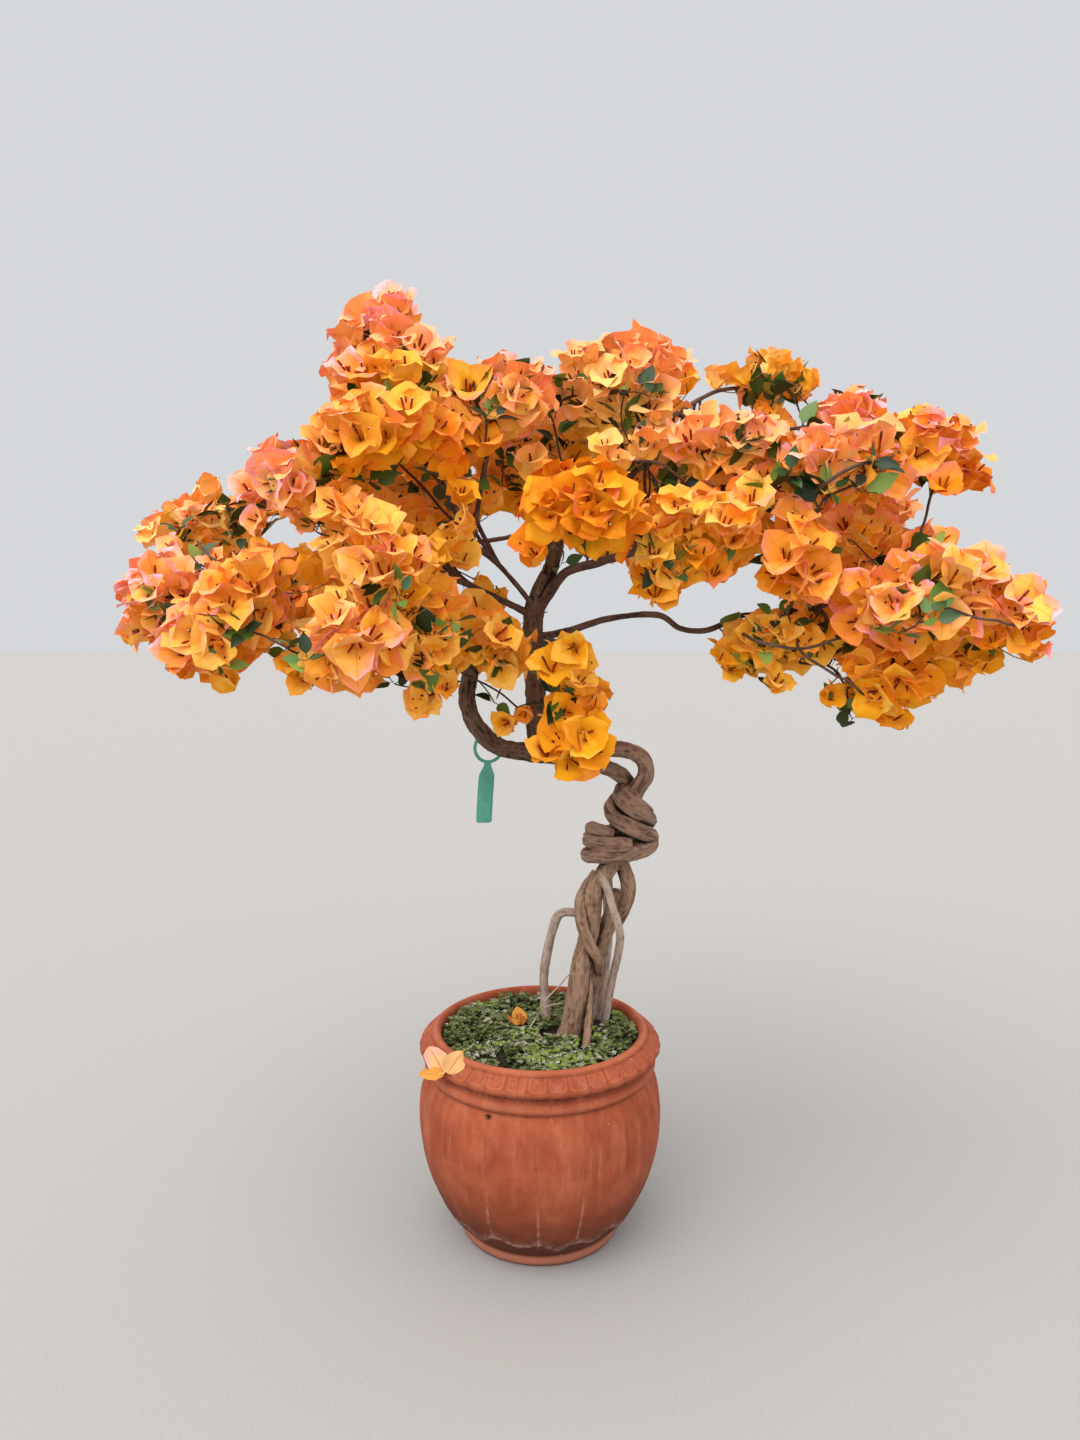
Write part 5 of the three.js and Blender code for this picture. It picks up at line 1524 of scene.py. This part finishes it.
def bract(g, length, half, phi0, phi1, fold0, fold1, wave, tilt, curl=0.0):
    """Local points (rows, cols, 3): x outward from the flower's axis, y round it, z along it."""
    fine = np.linspace(0, 1, 61)
    phi = phi0 + (phi1 - phi0) * fine**g.uniform(0.9, 1.5) + curl * np.clip((fine - 0.62) / 0.38, 0, 1) ** 1.5
    dx, dz = np.sin(phi), np.cos(phi)
    mx = 1.6 * MM + np.concatenate([[0], np.cumsum((dx[1:] + dx[:-1]) / 2)]) * length / 60
    mz = 2.5 * MM + np.concatenate([[0], np.cumsum((dz[1:] + dz[:-1]) / 2)]) * length / 60
    px, pz, ph = np.interp(ROW, fine, mx), np.interp(ROW, fine, mz), np.interp(ROW, fine, phi)
    w = WIDE * half
    fold = fold0 + (fold1 - fold0) * ROW
    left = COL[None] < 0
    u = ROW[:, None]
    # an uneven outline
    nick = np.where(left, np.sin(u * g.uniform(8, 13) + g.uniform(0, 6)), np.sin(u * g.uniform(8, 13) + g.uniform(0, 6)))
    side = w[:, None] * COL[None] * (1 + 0.05 * nick * np.abs(COL[None]))
    inward = np.abs(side) * np.sin(fold)[:, None]
    across = side * np.cos(fold)[:, None]
    # waved margins, a soft quilting between the veins, and a lean and a twist of the whole blade
    ph1, ph2, k1, k2 = g.uniform(0, 6.28), g.uniform(0, 6.28), g.uniform(6, 11), g.uniform(13, 19)
    ripple = np.where(left, np.sin(k1 * u + ph1), np.sin(k1 * 1.13 * u + ph2))
    ripple = ripple + 0.70 * np.where(left, np.sin(k2 * u + ph2), np.sin(k2 * u + ph1))
    push = wave * ripple * np.abs(COL[None]) ** 1.9 * np.clip(WIDE[:, None] * 1.3, 0, 1)
    quilt = 0.55 * MM * np.sin(u * 26 - np.abs(COL[None]) * 7) * np.sin(np.pi * np.abs(COL[None])) * np.clip(WIDE[:, None], 0, 1)
    twist = g.normal(0, 0.28)
    inward = inward + push + quilt + side * (math.tan(tilt) + twist * u)
    # the very tip is drawn to one side
    across = across + g.normal(0, 2.2) * MM * np.clip((u - 0.7) / 0.3, 0, 1) ** 2
    # the direction inwards, square to the midline
    nx, nz = -np.cos(ph), np.sin(ph)
    x = px[:, None] + inward * nx[:, None]
    z = pz[:, None] + inward * nz[:, None]
    return np.stack([x, across, z], -1)


rows, cols = len(ROW), len(COL)
gi = np.arange(rows - 1)[:, None] * cols + np.arange(cols - 1)[None]
GRID = np.stack([gi, gi + 1, gi + 1 + cols, gi + cols], -1).reshape(-1, 4)
GRID_ROW = np.repeat(np.arange(rows - 1), cols - 1)
GRID_COL = np.tile(np.arange(cols - 1), rows - 1)


def small_tube(a, b, radii, sides):
    n = len(radii)
    p = a + (b - a) * np.linspace(0, 1, n)[:, None]
    t, u, w = transport(p)
    th = np.arange(sides) * 2 * math.pi / sides
    r = np.asarray(radii)[:, None, None]
    v = p[:, None] + r * (np.cos(th)[None, :, None] * u[:, None] + np.sin(th)[None, :, None] * w[:, None])
    i = np.arange(n - 1)[:, None] * sides + np.arange(sides)[None]
    j = np.arange(n - 1)[:, None] * sides + (np.arange(sides)[None] + 1) % sides
    q = np.stack([i, j, j + sides, i + sides], -1).reshape(-1, 4)
    k = np.arange(sides)
    cap = np.stack([np.full(sides, n * sides), (n - 1) * sides + k, (n - 1) * sides + (k + 1) % sides], -1)
    return np.vstack([v.reshape(-1, 3), p[-1] + t[-1] * radii[-1] * 0.6]), q, cap


class Bloom:
    """One flower in its own frame: three bracts and three thin tubes."""

    def __init__(self, seed):
        g = np.random.default_rng(seed)
        v, q, qpart, t, tpart = [], [], [], [], []
        count = 0
        self.kind = ["open", "wide", "open", "open", "cup", "wide", "open", "open"][seed % 8]
        open_lo, open_hi = {"open": (42, 72), "cup": (26, 46), "wide": (62, 98)}[self.kind]
        size = g.uniform(0.88, 1.06)
        spin = g.uniform(0, 2 * math.pi)
        for k in range(3):
            a = spin + k * 2 * math.pi / 3 + g.normal(0, 0.10)
            length = size * g.uniform(37, 46) * MM
            half = size * g.uniform(18, 22) * MM
            b = bract(g, length, half, math.radians(g.uniform(8, 20)), math.radians(g.uniform(open_lo, open_hi)),
                      math.radians(g.uniform(26, 48)), math.radians(g.uniform(-26, 14)), g.uniform(3.0, 6.2) * MM, math.radians(g.uniform(2, 12)),
                      math.radians(g.uniform(-15, 55)))
            ca, sa = math.cos(a), math.sin(a)
            pts = np.stack([b[..., 0] * ca - b[..., 1] * sa, b[..., 0] * sa + b[..., 1] * ca, b[..., 2]], -1).reshape(-1, 3)
            v.append(pts)
            q.append(GRID + count)
            qpart.append(np.full(len(GRID), k))
            count += len(pts)
        for k in range(3):
            a = spin + k * 2 * math.pi / 3 + g.normal(0, 0.2)
            lean = math.radians(g.uniform(7, 20))
            tip = np.array([math.cos(a) * math.sin(lean), math.sin(a) * math.sin(lean), math.cos(lean)])
            start = np.array([math.cos(a) * 1.4, math.sin(a) * 1.4, 3.0]) * MM
            long = g.uniform(20, 28) * MM
            tv, tq, tt = small_tube(start, start + tip * long, np.array([0.75, 0.85, 1.25, 1.15]) * MM, 4)
            v.append(tv)
            q.append(tq + count)
            qpart.append(np.where(np.arange(len(tq)) < 8, 3, 4))
            t.append(tt + count)
            tpart.append(np.full(len(tt), 4 if g.random() < 0.85 else 5))
            count += len(tv)
        self.v = np.concatenate(v)
        self.q, self.qpart = np.concatenate(q), np.concatenate(qpart)
        self.t, self.tpart = np.concatenate(t), np.concatenate(tpart)
        self.nb = 3 * len(GRID)


VARIANTS = [Bloom(900 + k) for k in range(48)]
print("triangles a flower", 2 * len(VARIANTS[0].q) + len(VARIANTS[0].t))


def bloom_materials(var, tone, pink, light, g):
    """A slot for each face: the flower's tint over the blade, pinker at tips and edges, in a step of painted light that
    is shaded at the heart and on the midrib and paler at tips and edges.
    """
    qm = np.zeros(len(var.q), int)
    nb = len(GRID)
    for k in range(3):
        lift = pink * g.uniform(1.2, 12.0)
        own = tone + g.normal(0, 0.35) - 0.16 * lift
        sel = slice(k * nb, (k + 1) * nb)
        edge = np.abs(GRID_COL - MID) / MID
        reach = GRID_ROW / (rows - 2)
        side = g.choice([-1.0, 1.0]) * (GRID_COL - MID) / MID
        warm = own + lift * np.clip(reach * 1.3 + 0.30 * edge + 0.25 * side - 0.66, 0, 1) + g.normal(0, 0.16, nb)
        warm = np.maximum(warm, np.clip(tone - 0.7, 0, 3.2))
        tint = np.clip(np.round(warm), 0, TINTS - 1).astype(int)
        bright = light + g.normal(0, 0.35) + 1.1 * (reach - 0.45) + 0.45 * (edge - 0.5) + g.normal(0, 0.08, nb)
        step = np.clip(np.round(bright), 0, 3).astype(int)
        heart = reach + 0.10 * edge + g.normal(0, 0.05, nb)
        step = np.where(heart < 0.20, 0, step)
        step = np.where((GRID_COL == MID) & (GRID_ROW < rows - 2), np.maximum(step - 2, 0), step)
        qm[sel] = step * TINTS + tint
    rest = var.qpart[3 * nb:]
    qm[3 * nb:] = np.where(rest == 3, TUBE, TUBE_TIP)
    tm = np.where(var.tpart == 5, STAR, TUBE_TIP)
    return qm, tm


def tone_of(k):
    tone, pink, light = flower_tint[k]
    n = flower_mass[k]
    p = flower_tip[k]
    up = np.clip((p[2] - mass_centre[n][2]) / max(mass_half[n][2], 1e-6), -1, 1)
    wide = 1.3 * noise(p[None] / 0.055, 61)[0]
    tone = tone + np.clip(0.45 * up + 0.6 * head_tone[head_of[k]] + wide, -0.8, 2.4)
    if n == "mass_top_middle" and up > 0.25:
        tone += 1.3
    # the flower's step of painted light: from its openness to the sky, its mass's offset and some noise
    return tone, pink, 0.75 + 2.1 * exposure[k] + light + 0.5 * noise(p[None] / 0.04, 62)[0]


groups = []
flower_rng = np.random.default_rng(77)
order_of_mass = sorted(MASSES, key=lambda n: (mass_centre[n][0] > 0.0, mass_centre[n][1] > 0.05, mass_centre[n][0]))
current, members = Shape(), []
stalks_shape = Shape()
for n in order_of_mass:
    mine = [k for k in range(N) if flower_mass[k] == n]
    need = len(mine) * (2 * len(VARIANTS[0].q) + len(VARIANTS[0].t))
    if current.count and current.triangles + need > 190000:
        groups.append((current, members))
        current, members = Shape(), []
    members.append(n)
    for k in mine:
        g = flower_rng
        var = VARIANTS[int(g.integers(len(VARIANTS)))]
        m = basis(flower_axis[k], g.uniform(0, 6.283))
        size = g.uniform(0.86, 1.10) * flower_size[k]
        tone, pink, light = tone_of(k)
        qm, tm = bloom_materials(var, tone + g.normal(0, 0.45), pink if g.random() < 0.40 + 0.6 * pink else 0.15 * pink, light, g)
        v = (var.v * size) @ m.T
        flower_base[k] += np.maximum(ROOM_LO - (v.min(0) + flower_base[k]), 0) - np.maximum((v.max(0) + flower_base[k]) - ROOM_HI, 0)
        current.add(v + flower_base[k], var.q, var.t, qm, tm)
# Bracts that fell: two hang over the rim on the left, a dry one lies on the moss.
FALLEN = len(blossom_mats)
blossom_mats += [plain(n, c, 0.6, 0.25) for n, c in (("fallen_peach", "#e0a96e"), ("fallen_pink", "#dca286"), ("fallen_amber", "#d28f38"), ("fallen_dry", "#a95f1f"))]


def fallen(shape, foot, tip, up, half, seed, slot0, slot1, wave=3.0):
    g = np.random.default_rng(seed)
    along = tip - foot
    length = np.linalg.norm(along)
    b = bract(g, length, half, math.radians(82), math.radians(96), math.radians(18), math.radians(-8), wave * MM, 0.02, math.radians(12))
    x = along / length
    z = unit(up - x * (up @ x))
    m = np.stack([x, np.cross(z, x), z], axis=1)
    slot = np.where(GRID_ROW / (rows - 2) + 0.35 * np.abs(GRID_COL - MID) / MID < 0.72, slot0, slot1)
    slot = np.where((GRID_COL == MID) & (GRID_ROW < rows - 2), 3 if slot0 != 3 else 2, slot)
    shape.add(b.reshape(-1, 3) @ m.T + foot, GRID, None, slot + FALLEN)


fallen(current, np.array([-0.1065, -0.1045, 0.2385]), np.array([-0.1270, -0.0790, 0.2590]), np.array([-0.45, -0.55, 0.75]), 12.5 * MM, 5, 0, 1, 4.0)
fallen(current, np.array([-0.1060, -0.1050, 0.2390]), np.array([-0.0890, -0.0930, 0.2600]), np.array([0.2, -0.75, 0.65]), 12.5 * MM, 6, 0, 0, 4.0)
fallen(current, np.array([-0.1070, -0.1040, 0.2380]), np.array([-0.1370, -0.1000, 0.2370]), np.array([-0.3, -0.75, 0.6]), 7 * MM, 7, 2, 2)
fallen(current, np.array([-0.0240, 0.0150, 0.2450]), np.array([-0.0275, 0.0195, 0.2680]), np.array([-0.1, -0.95, 0.25]), 9.5 * MM, 8, 3, 2, 1.6)
fallen(current, np.array([-0.0245, 0.0150, 0.2470]), np.array([-0.0430, 0.0120, 0.2580]), np.array([0.0, -0.8, 0.5]), 3.6 * MM, 9, 2, 3, 1.0)
groups.append((current, members))
print("blossom groups", [(len(m), s.triangles) for s, m in groups])

blossoms = []
for k, (shape, members) in enumerate(groups):
    ob = shape.object(f"blossom_{k + 1}", blossom_mats)
    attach(ob, "root")
    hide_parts(*members)
    blossoms.append(ob)

# flower stalks, from the head's place on the twig to the foot of each flower
for k in range(N):
    a = head_base[head_of[k]]
    b = flower_base[k] + flower_axis[k] * 2.0 * MM
    c = flower_base[k] - flower_axis[k] * 9 * MM
    span = np.linalg.norm(b - a)
    if span < 4 * MM:
        continue
    pts = through(np.array([a, a * 0.45 + c * 0.55 + head_out[head_of[k]] * 2 * MM, b]), max(5 * MM, span / 4))
    t, u, w = transport(pts)
    th = np.arange(4) * math.pi / 2
    r = np.linspace(0.8, 0.6, len(pts))[:, None, None] * MM
    vv = (pts[:, None] + r * (np.cos(th)[None, :, None] * u[:, None] + np.sin(th)[None, :, None] * w[:, None])).reshape(-1, 3)
    i = np.arange(len(pts) - 1)[:, None] * 4 + np.arange(4)[None]
    j = np.arange(len(pts) - 1)[:, None] * 4 + (np.arange(4)[None] + 1) % 4
    stalks_shape.add(vv, np.stack([i, j, j + 4, i + 4], -1).reshape(-1, 4))
print("stalks", stalks_shape.triangles)

# ------------------------------------------------------------------ leaves
LEAF_ROW = np.array([0.0, 0.16, 0.38, 0.62, 0.84, 1.0])
LEAF_WIDE = np.array([0.14, 0.78, 1.0, 0.80, 0.38, 0.03])


def leaf_points(g, length, half):
    """Local points: x along the leaf, y across, z up from its face."""
    bend = g.uniform(-0.5, 0.9)
    cup = g.uniform(0.12, 0.5)
    x = LEAF_ROW * length
    z = -bend * length * 0.28 * LEAF_ROW**2
    col = np.array([-1.0, 0.0, 1.0])
    y = LEAF_WIDE[:, None] * half * col[None]
    zz = z[:, None] + np.abs(y) * cup + 0.0009 * np.sin(LEAF_ROW * 9 + g.uniform(0, 6))[:, None] * np.abs(col)[None]
    return np.stack([np.broadcast_to(x[:, None], y.shape), y, zz], -1).reshape(-1, 3)


li = np.arange(5)[:, None] * 3 + np.arange(2)[None]
LEAF_QUADS = np.stack([li, li + 3, li + 4, li + 1], -1).reshape(-1, 4)
leaf_rng = np.random.default_rng(404)
LEAF_VARIANTS = [leaf_points(leaf_rng, 1.0, leaf_rng.uniform(0.30, 0.37)) for _ in range(24)]
leaf_mats = [plain("leaf_dark", "#1e3113", 0.44, 0.34), plain("leaf_mid", "#334f20", 0.42, 0.40), plain("leaf_light", "#56772c", 0.42, 0.42),
             plain("leaf_young", "#86a048", 0.45, 0.40), plain("leaf_stalk", "#5b5a2a", 0.6, 0.3)]
leaves_shape = Shape()
leaf_count = 0
roll = 0.0
WANT = 3600
places = twig_places
per = WANT / max(1, len(places))
for p, d, r in places:
    n = int(per) + (leaf_rng.random() < per - int(per))
    for _ in range(n):
        roll += 2.4 + leaf_rng.normal(0, 0.3)
        m = basis(d, roll)
        out = unit(m[:, 0] * 1.0 + d * 0.55 + np.array([0, 0, 0.30]) + leaf_rng.normal(0, 0.2, 3))
        start = p + d * leaf_rng.uniform(-0.5, 0.5) * STEP
        stalk = leaf_rng.uniform(5, 10) * MM
        foot = start + out * stalk
        length = leaf_rng.uniform(20, 36) * MM
        tip = foot + out * length
        if depth_inside(tip) < -5 * MM or (tip < ROOM_LO + 3 * MM).any() or (tip > ROOM_HI - 3 * MM).any():
            continue
        up = np.array([0, 0, 1.0]) + leaf_rng.normal(0, 0.45, 3)
        z = unit(up - out * (up @ out))
        y = np.cross(z, out)
        mat = np.stack([out, y, z], axis=1)
        v = (LEAF_VARIANTS[int(leaf_rng.integers(24))] * length) @ mat.T + foot
        tint = leaf_rng.choice(4, p=[0.30, 0.40, 0.22, 0.08])
        leaves_shape.add(v, LEAF_QUADS, None, tint)
        side = y * 0.5 * MM
        lift = z * 0.5 * MM
        sv = np.array([start - side, start + side, start + lift, foot - side, foot + side, foot + lift])
        leaves_shape.add(sv, [[0, 1, 4, 3], [1, 2, 5, 4], [2, 0, 3, 5]], None, 4)
        leaf_count += 1
for k in range(len(leafy_tip)):
    g = leaf_rng
    foot0 = head_base[leafy_first + k]
    face = unit(np.array([0.1, -0.75, 0.65]) + g.normal(0, 0.15, 3))
    turn0 = g.uniform(0, 6.28)
    m = basis(face, turn0)
    for j in range(leafy_many[k]):
        a = 2.4 * j + g.normal(0, 0.25)
        out = unit(m[:, 0] * math.cos(a) + m[:, 1] * math.sin(a) + face * g.uniform(0.25, 0.75))
        start = foot0 + face * 2 * MM * j
        foot = start + out * g.uniform(4, 9) * MM
        length = g.uniform(15, 24) * MM
        tip = foot + out * length
        if (tip < ROOM_LO + 3 * MM).any() or (tip > ROOM_HI - 3 * MM).any():
            continue
        up = face + g.normal(0, 0.30, 3)
        z = unit(up - out * (up @ out))
        y = np.cross(z, out)
        mat = np.stack([out, y, z], axis=1)
        leaves_shape.add((LEAF_VARIANTS[int(g.integers(24))] * length) @ mat.T + foot, LEAF_QUADS, None, g.choice(4, p=[0.36, 0.36, 0.20, 0.08]))
        side, lift = y * 0.5 * MM, z * 0.5 * MM
        sv = np.array([start - side, start + side, start + lift, foot - side, foot + side, foot + lift])
        leaves_shape.add(sv, [[0, 1, 4, 3], [1, 2, 5, 4], [2, 0, 3, 5]], None, 4)
        leaf_count += 1
print("leaves", leaf_count, leaves_shape.triangles)


def put(shape, name, mats, slot, *nodes):
    ob = shape.object(name, mats)
    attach(ob, "root")
    if nodes:
        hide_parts(*nodes)
    return ob


leaves = put(leaves_shape, "leaves", leaf_mats, "leaf")
TWIG = plain("twig_brown", "#4a372c", 0.75, 0.25)
STALK = plain("flower_stalk", "#8b7a35", 0.6, 0.3)
print("triangles boughs", boughs_shape.triangles, "twigs", twigs_shape.triangles, "stems", stems_shape.triangles, roots_shape.triangles, knot_shape.triangles, trunk_shape.triangles)
twigs = put(twigs_shape, "twigs", [TWIG], "bough_bark")
stalks = put(stalks_shape, "flower_stalks", [STALK], "leaf")
boughs = put(boughs_shape, "boughs", [BOUGH_BARK], "bough_bark")
put(stems_shape, "stems", [STEM_BARK], "stem_bark", "stem_front", "stem_middle", "stem_loop_right", "stem_crossing")
put(roots_shape, "aerial_roots", [ROOT_BARK], "root_bark", "stem_back", "aerial_root_left_lower", "aerial_root_left_upper", "aerial_root_right")
put(knot_shape, "knot", [KNOT_BARK], "stem_bark", "knot_core", "knot_coil_low", "knot_coil_middle", "knot_rope_low", "knot_rope_high", "neck_over", "neck_under")
put(trunk_shape, "trunk_and_limbs", [TRUNK_BARK, BOUGH_BARK], "bough_bark", "trunk_bridge", "trunk_upper", "limb_up", "bough_left_low",
    "limb_right", "bough_left_high", "bough_up_left", "bough_right_low")
for ob, slot, node in ((pot, "terracotta", "pot"), (soil, "soil", "soil")):
    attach(ob, "root")
    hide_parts(node)


def build_tag():
    """A plastic loop tag: a blade with eased edges, bent a little, and the loop that it hangs by."""
    w, length, ring_z, r_out, r_in, half = 10.0, 77.0, 92.0, 19.5, 15.6, 0.62
    shape = Shape()

    def bent(xy, y):
        x, z = xy[..., 0], xy[..., 1]
        sag = 1.6 * np.sin(np.clip(z / length, 0, 1) * math.pi) + 0.5 * np.sin(z / 11.0) * 0.25
        return np.stack([x, y + sag - 0.8, z], -1)

    # the blade, as a lattice between its two long edges
    zs = np.concatenate([[0.0, 0.4, 1.2, 2.2, 3.0], np.linspace(5, length - 22, 14), np.linspace(length - 20, length - 3.2, 9)])

    def half_width(z):
        if z < 3:
            return w - 3 + math.sqrt(max(9 - (3 - z) ** 2, 0))
        f = np.clip((z - (length - 22)) / 18, 0, 1)
        return w - (w - 4.2) * (3 * f**2 - 2 * f**3)

    cols_ = np.array([-1, -0.97, -0.6, -0.2, 0.2, 0.6, 0.97, 1])
    thick = np.array([0.35, 1, 1, 1, 1, 1, 1, 0.35]) * half
    grid = np.array([[(c * half_width(z), z) for c in cols_] for z in zs])
    front = bent(grid, -thick[None])
    back = bent(grid, thick[None])
    a, b = len(zs), len(cols_)
    i = np.arange(a - 1)[:, None] * b + np.arange(b - 1)[None]
    f_q = np.stack([i, i + 1, i + 1 + b, i + b], -1).reshape(-1, 4)
    rim = [k for k in range(b)] + [k * b + b - 1 for k in range(1, a)] + [(a - 1) * b + k for k in range(b - 2, -1, -1)] + [k * b for k in range(a - 2, 0, -1)]
    rim = np.array(rim)
    nxt = np.roll(rim, -1)
    edge = np.stack([rim, rim + a * b, nxt + a * b, nxt], -1)
    shape.add(np.concatenate([front.reshape(-1, 3), back.reshape(-1, 3)]), np.concatenate([f_q, f_q[:, ::-1] + a * b, edge]))
    # the loop, a flat ring with eased edges
    turns = 72
    th = np.arange(turns) * 2 * math.pi / turns
    mid, wide = (r_out + r_in) / 2, (r_out - r_in) / 2
    section = [(-wide, -0.25), (-wide + 0.3, -half), (0, -half * 1.05), (wide - 0.3, -half), (wide, -0.25), (wide, 0.25), (wide - 0.3, half), (0, half * 1.05), (-wide + 0.3, half), (-wide, 0.25)]
    m = len(section)
    ringv = np.array([[bent(np.array([(mid + q) * math.cos(t), ring_z + (mid + q) * math.sin(t)]), y) for q, y in section] for t in th])
    i = np.arange(turns)[:, None] * m + np.arange(m)[None]
    j = ((np.arange(turns) + 1) % turns)[:, None] * m + np.arange(m)[None]
    i2 = np.arange(turns)[:, None] * m + (np.arange(m)[None] + 1) % m
    j2 = ((np.arange(turns) + 1) % turns)[:, None] * m + (np.arange(m)[None] + 1) % m
    shape.add(ringv.reshape(-1, 3), np.stack([i, i2, j2, j], -1).reshape(-1, 4))
    c, s_ = math.cos(math.radians(22)), math.sin(math.radians(22))
    c4, s4 = math.cos(math.radians(4)), math.sin(math.radians(4))
    for k, v in enumerate(shape.v):
        x, y, z = v[:, 0], v[:, 1], v[:, 2]
        x, y = x * c - y * s_, x * s_ + y * c
        x, z = x * c4 + z * s4, -x * s4 + z * c4
        shape.v[k] = np.stack([x - 68, y - 1, z + 508], -1) * MM
    return shape


put(build_tag(), "tag", [plastic_material()], "tag_plastic", "plant_tag")

# ------------------------------------------------------------------ studio
floor_shape = Shape()
g = 16.0
floor_shape.add([(-g, -g, 0), (g, -g, 0), (g, g, 0), (-g, g, 0)], [[0, 1, 2, 3]])
floor = floor_shape.object("studio_floor", [floor_material()])
floor.location.z = -0.0006

world = bpy.data.worlds.new("studio")
bpy.context.scene.world = world
world.use_nodes = True
bg = world.node_tree.nodes.get("Background")
bg.inputs["Color"].default_value = (0.955, 0.975, 1.0, 1)
bg.inputs["Strength"].default_value = 0.70

# One very soft sun stands for a big overhead softbox, up and to the left.
sun = bpy.data.lights.new("softbox", "SUN")
sun.energy = 1.9
sun.angle = math.radians(55)
sun.color = (1.0, 0.985, 0.96)
sun_ob = bpy.data.objects.new("softbox", sun)
sun_ob.rotation_euler = Vector((0.42, 0.50, -1.0)).to_track_quat("-Z", "Y").to_euler()
bpy.context.scene.collection.objects.link(sun_ob)
# and one as wide as the sky for the rest of the room's light.
dome = bpy.data.lights.new("overhead", "SUN")
dome.energy = 2.2
dome.angle = math.radians(165)
dome.color = (0.985, 0.99, 1.0)
dome_ob = bpy.data.objects.new("overhead", dome)
dome_ob.rotation_euler = Vector((0.0, 0.35, -1.0)).to_track_quat("-Z", "Y").to_euler()
bpy.context.scene.collection.objects.link(dome_ob)
bpy.context.scene.view_settings.view_transform = "Standard"
bpy.context.scene.view_settings.look = "None"
